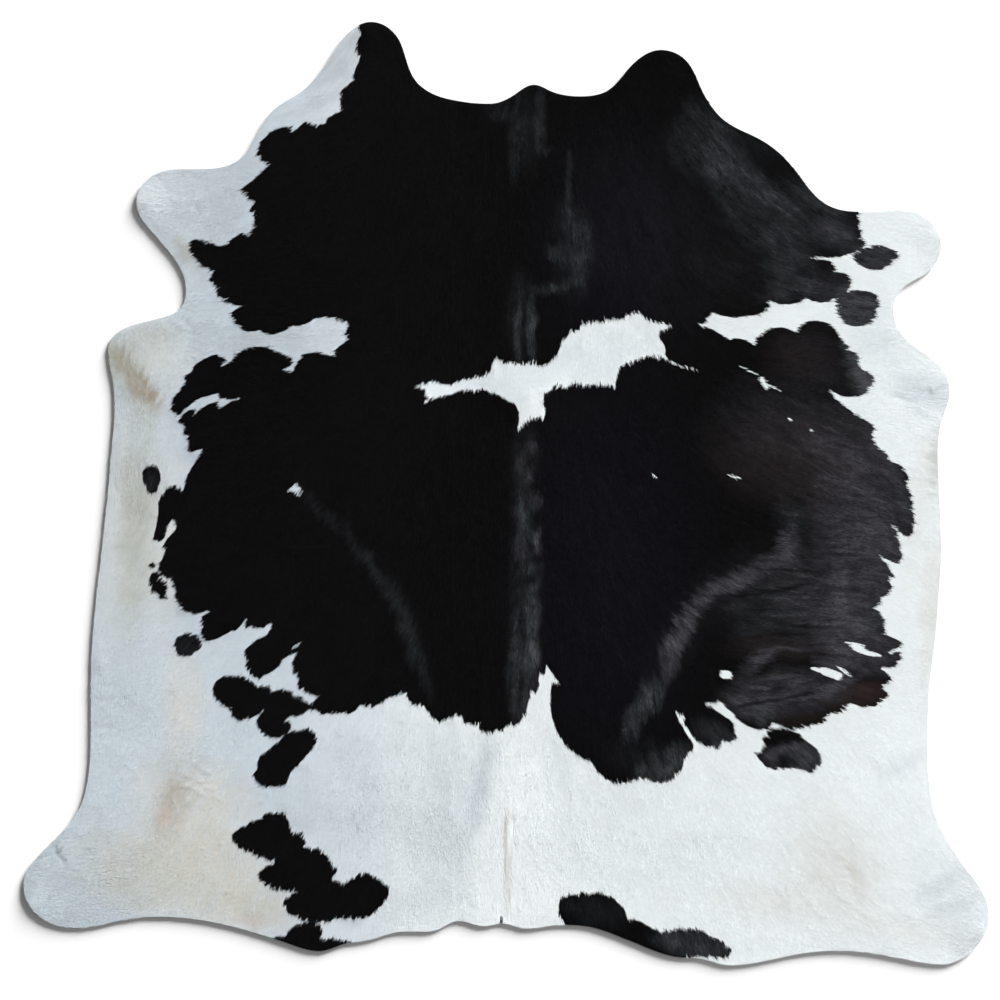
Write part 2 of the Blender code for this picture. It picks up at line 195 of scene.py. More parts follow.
# wrinkles in the coat's surface only: middle, heading, length, width, rise
WRINKLES = (
    # wrinkle                    across   down  heading length  width   rise
    ("spine rise, shoulders",     528.0,  200.0,   90,  0.480, 0.030,  0.00033),
    ("spine rise, loin",          527.0,  570.0,   90,  0.640, 0.032,  0.00044),
    ("spine valley left",         509.0,  560.0,   90,  0.560, 0.016, -0.00028),
    ("tail hair line",            507.0,  852.0,   91,  0.300, 0.0045,  0.00055),
    ("tail hair line, side",      513.0,  820.0,   88,  0.220, 0.0045, -0.00033),
    ("rump trough left",          438.0,  800.0,   92,  0.360, 0.030, -0.00028),
    ("rump trough right",         552.0,  790.0,   84,  0.300, 0.034, -0.00028),
    ("tail trough, deep",         480.0,  776.0,  106,  0.230, 0.020, -0.00033),
    ("left haunch swirl",         190.0,  787.0,   24,  0.050, 0.0045,  0.00037),
    ("left haunch swirl two",     200.0,  792.0,   32,  0.052, 0.0045,  0.00037),
    ("left haunch swirl three",   211.0,  789.0,   18,  0.044, 0.0045,  0.00032),
    ("left haunch swirl four",    218.0,  798.0,   26,  0.050, 0.0045,  0.00027),
    ("left haunch swirl five",    186.0,  799.0,   50,  0.050, 0.0050,  0.00032),
    ("left haunch swirl low",     176.0,  810.0,   70,  0.060, 0.0080,  0.00027),
    ("right haunch swirl",        828.0,  848.0,   12,  0.056, 0.0045,  0.00035),
    ("right haunch swirl two",    838.0,  856.0,    6,  0.060, 0.0045,  0.00040),
    ("right haunch swirl three",  818.0,  858.0,   16,  0.044, 0.0045,  0.00032),
    ("right haunch swirl four",   847.0,  866.0,   30,  0.044, 0.0045,  0.00032),
    ("right haunch swirl low",    853.0,  880.0,   66,  0.060, 0.0070,  0.00028),
    ("right elbow line",              940.6,  387.0,  -19,  0.056, 0.0040, -0.00056),
    ("right elbow line two",          921.0,  392.5,   -6,  0.060, 0.0040, -0.00048),
    ("right elbow line three",        928.6,  391.5,   88,  0.030, 0.0050, -0.00060),
    ("right elbow line four",         901.0,  399.0,   20,  0.062, 0.0045, -0.00042),
    ("right flank wrinkle low",   928.0,  414.0,   30,  0.070, 0.0100,  0.00044),
    ("left elbow line",           184.0,  320.0,   14,  0.050, 0.0045, -0.00027),
    ("left elbow line two",       190.0,  327.0,   30,  0.044, 0.0045, -0.00025),
    ("left elbow line three",     177.0,  329.0,   52,  0.050, 0.0045, -0.00027),
    ("left elbow line four",      170.0,  322.0,  -30,  0.040, 0.0045, -0.00020),
    ("left hock line",             56.0,  851.0,   58,  0.060, 0.0045, -0.00104),
    ("left hock line two",         49.0,  856.0,  -24,  0.040, 0.0045, -0.00089),
    ("left hock line three",       63.0,  862.0,   78,  0.040, 0.0045, -0.00074),
    ("left leg ripple",               87.0,  882.0,  107,  0.070, 0.0036,  0.00024),
    ("left leg ripple two",           94.0,  884.0,  104,  0.070, 0.0036,  0.00024),
    ("left leg ripple three",        101.0,  886.0,  101,  0.070, 0.0036,  0.00024),
    ("left leg ripple four",         108.0,  882.0,   98,  0.070, 0.0036,  0.00024),
    ("left leg ripple five",         114.0,  882.0,  104,  0.070, 0.0036,  0.00024),
    ("left leg ripple six",          120.0,  882.0,   98,  0.070, 0.0036,  0.00024),
    ("left foreleg crease",       192.0,  214.0,  148,  0.140, 0.0180, -0.00039),
    ("left foreleg dimple",       196.0,  208.0,   60,  0.030, 0.0070, -0.00049),
    ("right foreleg crease",      908.0,  246.0,   12,  0.120, 0.0180, -0.00033),
    ("left neck crease",          330.0,   82.0,  152,  0.110, 0.0090, -0.00044),
    ("left neck crease low",      318.0,  104.0,  160,  0.090, 0.0100, -0.00039),
    ("left belly seam",            97.0,  664.0,   84,  0.240, 0.0140,  0.00033),
    ("left belly ripple",         104.0,  700.0,   -8,  0.060, 0.0060, -0.00028),
    ("left belly ripple two",     106.0,  728.0,   -2,  0.060, 0.0060, -0.00028),
    ("right belly seam",          914.0,  610.0,   92,  0.420, 0.0160,  0.00028),
    ("left rump line",            300.0,  838.0,  160,  0.200, 0.0200, -0.00028),
    ("right rump line",           700.0,  850.0,   18,  0.260, 0.0240, -0.00028),
    ("right thigh fold",          896.0,  752.0,  152,  0.160, 0.0150,  0.00049),
    ("right thigh fold low",      902.0,  776.0,  146,  0.130, 0.0150,  0.00044),
    ("right hock fold",           930.0,  880.0,  150,  0.150, 0.0140,  0.00049),
    ("right hock fold low",       944.0,  902.0,  160,  0.120, 0.0150,  0.00039),
    ("left haunch curl",              196.0,  764.0,   34,  0.040, 0.0036,  0.00040),
    ("left haunch curl two",          206.0,  771.0,   22,  0.040, 0.0036,  0.00040),
    ("left haunch curl three",        188.0,  776.0,   14,  0.040, 0.0036,  0.00040),
    ("left haunch curl four",         201.0,  781.0,    2,  0.040, 0.0036,  0.00040),
    ("left haunch curl five",         183.0,  786.0,   -8,  0.040, 0.0036,  0.00040),
    ("right haunch curl",             822.0,  838.0,   24,  0.044, 0.0036,  0.00032),
    ("right haunch curl two",         812.0,  846.0,   34,  0.044, 0.0036,  0.00032),
    ("right haunch curl three",       830.0,  852.0,    8,  0.044, 0.0036,  0.00032),
)

# ---- the black coat: across, down, and swell, how far the patch's edge bows out
# on its way to the next row.  Clockwise, each run starting where the last ends. ----
OVER_THE_NECK = ((359, 8, 0), (859, 8, 0))
RIGHT_SHOULDER = (
    (858, 212, 0), (859.7, 230, .3), (864.2, 243.3, 1), (861, 249.5, 0),
    (846.7, 254.5, 1.8), (822, 257, .5), (808, 258.2, 0), (829, 260.3, 2),
    (836, 273.2, 4.3), (850.5, 281, 1.5), (847.5, 290.8, 1), (835, 298, 4.2),
    (807.5, 298.7, 5), (769.2, 300.3, 6), (752, 315.3, 3.6), (713.3, 312.5, 0),
    (705.5, 318, .5), (706, 322, 0),
)
RIGHT_LOBE = (
    (700, 325.8, .5), (713.3, 330, 0), (730, 339.7, 3.3), (753.3, 345, 0),
    (758.5, 336.5, 7.2), (795, 332.5, 3.1), (812, 320.5, 5.6), (840.8, 338.3, 2.2),
    (849.2, 350.8, 4.4), (858.3, 363.3, -1), (862.5, 370, 5.3), (871.7, 385, 1.6),
    (861.7, 395, 4.5), (829.2, 389.2, -.5),
)
RIGHT_FLANK = (
    (834, 398.5, .8), (860, 418.3, 7.3), (871.7, 439.2, .6), (880, 449.2, 2.4),
    (889.5, 461, 8), (907.5, 488.3, 1.6), (912.5, 509, 2.6), (910.8, 536.7, 1.2),
    (901.7, 534.2, 0), (890, 522.5, 4.4), (899.7, 560, 1), (896.7, 564.2, 1.8),
    (876.7, 550.8, .6), (894.2, 575.8, -.8), (890, 580, 4.8), (881, 597, 3.4),
    (872.5, 608, 6.2), (884.2, 634.2, .6), (901, 642, .8), (891, 653, .8),
    (898.5, 651.5, 1.5), (900.5, 658.5, .8), (893, 667, .3), (881, 668.3, 8.8),
    (880.3, 687.5, 7), (880, 702.5, 4.6), (850, 702.5, 4.6), (825, 713.3, 5.2),
    (813.3, 724.2, 6.2), (773, 721.7, .5), (768, 729.5, .3), (761, 729.2, 4.2),
    (731, 712, .8), (721.5, 701.7, -.3),
)
RIGHT_HAUNCH = (
    (704.2, 703.7, .5), (730, 720, 1.8), (734.2, 731.7, .3), (737.5, 738, 2.2),
    (720.8, 741.3, 0), (718.3, 749.2, .8), (695.8, 740, .3), (683.3, 722.5, .3),
    (685.5, 717.5, 0), (676, 713, -1.2), (694.2, 744.7, -1.4), (681.7, 769.2, .5),
    (673, 775, 1), (674, 778.5, 5.3), (640, 776.7, 7.6), (600.8, 775, 1.2),
    (591.7, 761.7, 3.2), (560, 738.3, 4.4), (551, 686, .5), (559, 683.5, -.5),
)
TAIL_WEDGE = (
    (547, 666.5, -.3), (544, 674, .5), (539, 674.2, -.5), (539.5, 686, .8),
    (535.5, 691.7, .8), (530.8, 690, .5), (527.5, 706.7, .3), (521.5, 720.8, 1.5),
    (508, 725.5, 1), (501, 730.8, 1), (496.5, 730, 1.8), (481.7, 730.8, 1.5),
    (480, 725.8, 1), (464.2, 720.8, .8), (461.7, 716.7, -2), (441.7, 720.8, 1.5),
    (433, 719, .8), (427.5, 709, 1), (420, 703.7, .8), (411.7, 704.2, 1),
    (406.7, 695, -2.6), (386.7, 700, .8), (370.8, 707.5, .5), (364.2, 705, -.5),
    (357.5, 706.7, 1.4), (351.7, 713, 1), (333.3, 712.5, 1), (320, 713.3, 1),
    (315, 709.2, -.5),
)
LEFT_CHAIN = (
    (306.7, 710.8, 1.2), (300, 715, .8), (290.8, 716.3, 0), (285, 720, 4.6),
    (289, 732, 1), (273.3, 738.3, 2.4), (259.2, 730, 2), (257.5, 718.3, 0),
    (262.5, 711.7, -.4), (250, 719.2, .3), (244.2, 718, 1), (239.2, 720.8, .8),
    (233.3, 719.2, 1.2), (230, 708.3, .6), (221.7, 704.2, 1), (212.5, 695, .8),
    (213.3, 685, 2.6), (230, 674.7, 3.8), (254.2, 685.8, 1.8), (274, 690.8, 3.8),
    (293.3, 695, 1), (309.5, 703.5, 0), (319, 697, 2.1), (297.5, 685, 0),
    (299, 674.7, 0), (292.5, 673, 1), (294, 657, 0),
)
LEFT_LOBES = (
    (298.5, 652.3, -1.5), (281, 661.5, .5), (278.3, 667.5, .3), (263.3, 675.8, 1),
    (257.5, 678.3, 1.2), (249, 672, .5), (245, 665.8, -.3), (246.7, 660, .5),
    (243.3, 654.2, .8), (251.7, 643.3, 1.2), (265, 636.5, -.5), (269.2, 630, 0),
    (273.3, 623, -.5), (264, 627.5, .5), (248, 627.5, .3), (244.5, 625.5, 0),
    (246.7, 618, .3), (237, 629.7, .6), (230, 631.7, .5), (211.7, 640.8, 1.6),
    (203, 637.5, .5), (200.8, 631.7, -.5), (202.5, 626.7, .5), (200.8, 620.8, .8),
    (204.2, 614.2, -.3), (210, 611.3, -.3), (197.5, 614.7, .8), (180.8, 609.2, .3),
    (175, 596.7, -1.5), (170.8, 581.7, -.5), (160, 575, 0), (157.5, 570, -.5),
    (162.5, 557.5, .3), (165, 552.5, -.3), (162.5, 547.5, .3), (167.5, 538.3, 0),
    (175.8, 529.2, -.5), (175.8, 524, 0), (172, 520, 0), (168, 525, 0),
    (165, 537.5, .3), (160.3, 541.7, 1), (153, 538.5, 0), (157.5, 518.3, -.6),
    (158, 501.7, .3), (163.3, 493.3, .8), (171.7, 485, 1), (178, 488, 0),
    (182.5, 491.7, 0), (184.5, 486, 0), (186.7, 476.7, .3), (195, 462.5, .5),
)
LEFT_ELBOW_LOBES = (
    (203.5, 448.7, -.3), (190.8, 452.5, 1), (186.7, 450.8, .3), (190, 440, -.5),
    (184.2, 431.7, .8), (186.7, 426.7, 0), (180.8, 424, .5), (180, 418.3, .3),
    (184.2, 413.3, .6), (193.3, 409.2, 0), (196.7, 410, 0), (195.8, 415.3, .8),
    (205, 405.8, .6), (218.3, 401.7, 0), (220.8, 409.2, 0), (226.7, 404.2, .3),
    (232.5, 400.8, 0), (246, 397, .3), (228.3, 399.7, .3), (219.2, 398.3, 0),
    (217.5, 393, .3), (208.3, 395.8, 0), (200, 398.3, -.5), (190.8, 405, -.4),
    (180, 414.7, 1.2), (174.2, 411.7, 1.5), (172.2, 405, 1.6), (178.3, 392, .8),
    (186.3, 383.3, .3), (185, 380, .6), (186.7, 375, .4), (190.8, 372.5, 0),
    (194.2, 365.8, .8), (212.5, 355, 1.2), (221.7, 356.7, 1.5), (224.2, 361.7, 0),
    (220.8, 367.5, -.3), (230, 361.7, .3), (233.3, 358.3, .8), (243.3, 349.7, 1.2),
    (260, 346.7, .8), (275, 350.3, .8), (290, 357.5, .5), (294.5, 362, 0),
    (283.5, 370, 0), (292, 372.5, 0), (300, 358.3, .5), (303.3, 353.8, .8),
    (321.7, 352.5, 0), (333, 355.5, 0), (337.5, 356.7, 0), (334.2, 351, .3),
)
LEFT_SHOULDER_LOW = (
    (344.2, 342.5, .3), (349.7, 339.2, 0), (344.7, 334.2, 0), (349.2, 325.8, 0),
    (346.7, 322, 0), (340, 320.8, -2), (316.7, 318, .3), (302.5, 325.3, .5),
    (290.8, 326.3, -.8), (287.5, 330, .5), (271.7, 334.7, 1.2), (259.2, 330.3, .5),
    (247.5, 331.7, .8), (239.2, 325.8, .6), (233, 320, 1), (232, 312, .8),
    (243.5, 306, .3), (233, 305.3, .3), (229.2, 303.3, .3), (217.5, 294.2, .5),
    (215.8, 289.2, .3), (210.3, 278.3, .5), (213, 273.5, 0), (210, 270.8, .5),
    (190.5, 254, .5), (190, 243.3, .8), (196.7, 238.7, .6), (206.7, 241.3, .3),
)
LEFT_SHOULDER_HIGH = (
    (215, 244.7, -.3), (227.5, 244.7, .3), (233.3, 238, .8), (243.3, 233, .8),
    (249.7, 236.7, 0), (250.3, 230.8, .3), (254.5, 228, 0), (253.3, 216.7, 0),
    (250.5, 208, .5), (256.7, 200.8, 0), (249.2, 199.5, .3), (240.5, 190.3, .4),
    (250, 182.3, .3), (260, 173.3, .3), (265, 170, 0), (268, 163.3, 1),
    (257.5, 155, 1), (258.7, 146, .5), (260, 141.7, .3), (266, 137, 0),
    (268.3, 133.3, .6), (280, 128.3, .8), (290.8, 126.7, 0), (292.5, 132.5, .5),
    (304.2, 122.5, .8), (312.5, 123.5, 0), (319.2, 125.5, .3), (324.2, 124.2, .6),
    (330.8, 115.8, .8), (343, 110.8, .5), (340, 100, .3), (340.8, 91.7, .5),
    (348.7, 84.2, .6), (354.7, 80, .4), (354.2, 72.5, .3), (359.7, 61, -.3),
    (356.3, 50, .3), (358, 39, 0), (361.2, 35, 0), (358.3, 30, 0), (359.2, 24, 0),
)
MAIN_BLACK = (
    OVER_THE_NECK + RIGHT_SHOULDER + RIGHT_LOBE + RIGHT_FLANK + RIGHT_HAUNCH
    + TAIL_WEDGE + LEFT_CHAIN + LEFT_LOBES + LEFT_ELBOW_LOBES
    + LEFT_SHOULDER_LOW + LEFT_SHOULDER_HIGH
)
BLACK_SPOTS = {
    "left rump chain": (
        (253.7, 820.5, .5), (261.3, 820.5, 0), (263.4, 815, 1), (273.2, 811.8, .6),
        (284, 813.5, .8), (288.4, 821.5, .3), (291.6, 831.3, 0), (301.4, 833.5, .8),
        (306.8, 841, .5), (302.5, 846.9, 0), (314.4, 848.2, .5), (325.2, 853, .6),
        (329.6, 861.6, 0), (337.2, 870.3, .4), (331.5, 879, 0), (343, 883.3, 0),
        (349.5, 880, 0), (358.2, 873.6, .5), (366.9, 873.6, .6), (376.6, 876.8, .5),
        (384.2, 882.2, .6), (389.6, 889.8, .8), (386.8, 898.5, .5), (379.9, 907.2, .5),
        (372.3, 914.8, .8), (358.2, 918.5, .4), (345.2, 917.6, -.3), (330, 921.3, 1.2),
        (310, 921.3, .5), (297, 918, .4), (288.4, 912.6, .4), (281.9, 905, .8),
        (287.3, 896.3, .6), (297, 893, 0), (304, 894, 0), (284, 890.3, .4),
        (273.2, 888.8, .5), (263.4, 883.3, .6), (258, 875.7, .6), (261.3, 869.2, .4),
        (274.3, 863.8, 0), (275.4, 861.6, 0), (260.2, 857.3, .4), (249.3, 851.9, .6),
        (235.3, 844.3, .5), (232, 840, 1), (234.2, 832.4, 1), (247.2, 824.8, .4),
    ),
    "left rump edge": (
        (268, 938, 0), (273.2, 938.2, .4), (286.2, 935.4, .3), (289.5, 928.9, .6),
        (301.4, 922.8, .8), (314.4, 922.4, .6), (320.9, 927.8, .4), (323, 932.1, .4),
        (319.8, 938.6, 0), (329.6, 937.5, .4), (340.8, 939.7, .3), (350.6, 941.2, 0),
        (352, 965, 0), (268, 965, 0),
    ),
    "left haunch oval": (
        (290, 731.7, .4), (300, 730.8, .2), (308.3, 728.3, .5), (314.2, 732.5, .6),
        (317.5, 740, .8), (313.3, 748.3, .4), (306.7, 755, .3), (300, 763.3, .2),
        (293.3, 769.2, 0), (290, 773.3, .4), (288.3, 780.8, .8), (280, 786.7, .4),
        (270, 785.8, .2), (263.3, 786.7, .4), (257.5, 783.3, .3), (254.7, 780, .4),
        (255, 771.7, 0), (257.5, 768.3, 0), (258.3, 759.2, .4), (262.5, 753.3, .3),
        (271.7, 747.5, .3), (280, 740, .3), (285.8, 734.2, .2),
    ),
    "right rump edge": (
        (558.8, 915.9, .3), (558.8, 909.4, .4), (559.8, 899.6, 1), (568.5, 895.3, .4),
        (581.5, 893, .3), (596.7, 893, .5), (607.5, 895.3, .6), (618.4, 902.8, .8),
        (626, 912.6, .3), (627, 919, 0), (640, 921.3, .3), (653, 928.9, .3),
        (660, 931, 0), (673, 930, .3), (683.9, 927.8, .5), (699, 929.5, .3),
        (707.7, 933.6, .3), (718.5, 939.7, .5), (730.5, 947.3, 1.2), (730.5, 953.8, .8),
        (724, 957.7, .3), (709.9, 957, 0), (699, 956, 0), (686, 957.5, 0),
        (670, 975, 0), (560, 945, 0), (566, 924, 0),
    ),
    "right haunch oval": (
        (767.5, 730, .8), (780, 728, .6), (790, 730.8, .3), (798.3, 732.5, .5),
        (803.3, 739.2, .3), (811.7, 745, .5), (818.3, 750.8, .5), (820, 758.3, .2),
        (820.8, 762.5, .6), (815.8, 769.2, .4), (811.7, 772.5, .6), (801.7, 770, .3),
        (790, 767.5, .3), (780, 769.2, .6), (767.5, 767.5, .5), (761.7, 762.5, .5),
        (756.7, 755, .2), (753.3, 752.5, .2), (761.7, 750, 0), (764.2, 743.3, 0),
        (761.7, 739.2, 0), (766.7, 735.8, 0),
    ),
    "right foreleg oval": (
        (851.7, 255, .4), (860, 250, .4), (871.7, 246.7, .4), (881.7, 245.3, .4),
        (889.2, 248.7, .3), (896.7, 251.7, .8), (896.7, 256.7, .3), (891.7, 261.7, .2),
        (886.7, 267.5, .6), (877.5, 270.3, .4), (869.2, 269.2, .3), (860, 265.8, .4),
        (854.2, 260.8, .4),
    ),
    "right elbow oval": (
        (835.8, 297.5, .4), (843.3, 293.3, .5), (855, 290.3, .6), (868.3, 291.7, .4),
        (875.8, 294.2, .8), (879.2, 302.5, .4), (876.3, 310, 0), (875.8, 316.7, .8),
        (868.3, 323.3, .8), (855, 327, .6), (844.2, 323.3, .3), (840, 316.7, .2),
        (835.8, 310, .4), (836.7, 303.3, .2),
    ),
    "left flank slip": (
        (150, 575, 0), (152.5, 571.7, .4), (158.3, 573.3, .3), (160.8, 578.3, .2),
        (166.7, 583.3, .3), (167.5, 591.7, .2), (167.5, 600, .4), (163.3, 599.2, .3),
        (156.7, 594.2, .2), (150.8, 590, .3), (148.7, 585, .4),
    ),
    "left thigh spot": (
        (178.3, 635.8, .3), (185, 633.3, .3), (193.3, 633.7, .3), (199.2, 636.7, .4),
        (201.7, 643.3, .3), (200.8, 648.3, .6), (193.3, 652.5, 0), (191.7, 655.8, .4),
        (185.8, 657, .3), (180.8, 655.8, .3), (175.8, 650, .3), (174.2, 644.2, .5),
    ),
}
WHITE_CROSS = (
    (415, 385.8, 0), (430, 381.7, .3), (441, 384.5, .3), (451, 385.5, -.3),
    (456, 382.3, .3), (470, 378.5, .2), (481, 377, -.5), (491, 370.5, .3),
    (492.5, 361.7, .3), (496, 358.5, 0), (500, 362, 0), (521.7, 364.2, .5),
    (531.7, 363, 0), (541.7, 365, 0), (550, 362.5, -1), (557.5, 353.3, -.3),
    (560.8, 345, .3), (570, 333.3, .5), (580, 330, 0), (579.7, 325, .5),
    (600, 322.5, .2), (618.3, 318.3, .3), (638.3, 312.5, 0), (648.3, 320, 0),
    (660, 322.5, 0), (673.3, 327, 0), (661.7, 330, .5), (658.3, 335.8, .3),
    (665, 347.5, .5), (664.2, 353.3, 0), (669, 360, 0), (650, 355.8, -.8),
    (640, 358.3, 0), (630, 362.5, -.3), (620, 366.7, .5), (615, 381.7, .5),
    (614.2, 387.5, 0), (608.3, 384.7, 0), (583.3, 384.7, -.5), (575, 383.3, 0),
    (566.7, 386.7, 0), (555, 386.7, 0), (544.2, 393.3, -.5), (543.3, 400, 0),
    (545.8, 408.3, .5), (542.5, 421.7, 0), (538.3, 416.7, 0), (530, 419.2, 0),
    (517.5, 430, 0), (519.2, 413.3, -.5), (515, 405, -.5), (500, 395.8, -.5),
    (480, 390, -.4), (455, 391.7, 0), (450, 394.7, 0), (430, 398, .3),
    (425, 390, -.5),
)
# small marks: from one end to the other, and the half width, on the layout
BLACK_MARKS = (
    # mark                 across0  down0  across1  down1  half width
    ("left flank oval",      151.4, 474.0,  151.8,  479.0,  9.0),
    ("left flank oval foot", 151.8, 484.0,  152.2,  488.0,  5.8),
    ("left flank dot",       152.0, 565.0,  153.0,  565.0,  3.0),
    ("tail fleck",           501.0, 916.0,  501.6,  926.0,  1.5),
)
WHITE_MARKS = (
    ("left rib fleck",       291.5, 489.6,  298.5,  488.8,  2.1),
    ("left rib fleck high",  293.5, 486.6,  296.5,  484.8,  1.3),
    ("left rib fleck low",   296.5, 492.4,  300.0,  494.6,  1.2),
    ("left rib fleck tail",  287.2, 490.6,  303.6,  491.2,  1.0),
    ("right rib fleck",      647.0, 475.6,  658.5,  476.2,  1.35),
    ("right rib fleck low",  729.0, 474.8,  739.5,  477.8,  1.45),
    ("right gap eye",        761.5, 379.0,  766.0,  387.0,  2.4),
    ("right gap hair",       740.0, 366.0,  759.0,  376.0,  0.8),
    ("right gap hair low",   767.0, 384.0,  781.0,  391.0,  0.8),
    ("haunch fleck",         723.5, 674.3,  728.0,  674.8,  3.9),
    ("haunch fleck tip",     727.0, 673.0,  732.0,  674.0,  1.0),
    ("thigh fleck",          811.5, 668.2,  830.0,  673.0,  2.2),
    ("thigh fleck end",      824.0, 671.0,  838.0,  676.0,  3.9),
    ("thigh fleck hair",     838.0, 667.0,  850.0,  675.5,  1.4),
    ("thigh slit",           851.5, 645.5,  866.0,  652.0,  3.6),
    ("thigh slit end",       860.0, 651.5,  880.0,  655.5,  2.1),
    ("thigh slit top",       846.0, 642.4,  864.0,  645.6,  1.3),
    ("thigh rim slit",       889.0, 653.5,  899.0,  648.0,  1.2),
    ("thigh rim spot",       881.5, 668.5,  891.5,  671.0,  1.8),
    ("withers hair",         669.0, 361.0,  681.0,  366.4,  0.65),
    ("withers hair end",     682.0, 366.6,  698.0,  370.0,  0.55),
    ("stifle hair",          293.3, 647.5,  303.3,  641.7,  0.9),
    ("lobe dot",             789.0, 419.0,  791.0,  419.0,  1.0),
    ("lobe dot low",         811.0, 430.0,  813.0,  430.0,  1.0),
    ("cross dot",            425.5, 401.0,  427.5,  401.0,  1.0),
)

# ---- which way the hair lies: place, heading as above ----
HAIR_FLOW = (
    # place                   across  down  heading
    ("left neck flap",           366,   50,   125),
    ("left collar",              430,  120,   112),
    ("crest left",               500,  130,    97),
    ("crest right",              560,  120,    82),
    ("right collar",             610,  110,    66),
    ("right neck flap",          668,   75,    55),
    ("left neck border",         318,   95,   142),
    ("left shoulder",            300,  160,   140),
    ("left foreleg root",        240,  190,   158),
    ("left foreleg tip",         150,  200,   178),
    ("left armpit",              210,  275,   150),
    ("left withers",             430,  220,   112),
    ("right withers",            600,  210,    72),
    ("cowlick",                  575,  240,    88),
    ("right neck",               690,  160,    48),
    ("right shoulder",           780,  200,    36),
    ("right foreleg root",       860,  245,    16),
    ("right foreleg tip",        930,  245,    -2),
    ("left elbow",               134,  345,   100),
    ("left elbow lobes",         262,  350,   188),
    ("left elbow slit",          205,  395,   158),
    ("left gap",                 280,  345,   158),
    ("right gap",                770,  315,    20),
    ("right elbow",              915,  385,     4),
    ("right lobe",               795,  340,     2),
    ("left upper flank",         132,  430,   100),
    ("left flank spot",          150,  478,    98),
    ("left ribs rim",            196,  436,   152),
    ("left flank",               115,  560,   122),
    ("left ribs",                230,  470,   146),
    ("left ribs inner",          360,  430,   126),
    ("spine, ribs left",         490,  450,    99),
    ("spine, ribs right",        550,  450,    80),
    ("right ribs inner",         670,  430,    48),
    ("right ribs",               790,  440,    28),
    ("right upper flank",        920,  440,    20),
    ("right flank",              930,  570,    44),
    ("right flank inner",        850,  560,     4),
    ("right flank middle",       800,  620,     1),
    ("right stifle hair",        785,  684,    -6),
    ("right loin",               720,  560,    26),
    ("loin left",                470,  600,   103),
    ("loin right",               590,  600,    72),
    ("left loin",                340,  560,   124),
    ("left stifle",              200,  610,   146),
    ("right stifle",             870,  665,    20),
    ("left belly",               105,  690,   108),
    ("left haunch",              300,  700,   124),
    ("left thigh",               170,  790,   128),
    ("left hock",                 70,  850,   150),
    ("left hind leg tip",         35,  890,   178),
    ("left rump",                370,  800,   108),
    ("left rump low",            300,  900,   112),
    ("tail",                     506,  800,    91),
    ("tail low",                 503,  910,    90),
    ("right rump",               640,  800,    76),
    ("right rump low",           700,  910,    70),
    ("right haunch",             650,  710,    84),
    ("right haunch outer",       786,  732,    44),
    ("right thigh",              880,  790,    58),
    ("right hock",               930,  870,    36),
    ("right hind leg tip",       975,  925,    14),
    ("white cross",              600,  345,    84),
    ("white cross stem",         508,  405,    66),
    ("white cross stem right",   546,  398,   112),
    ("white cross arm",          440,  390,   118),
)
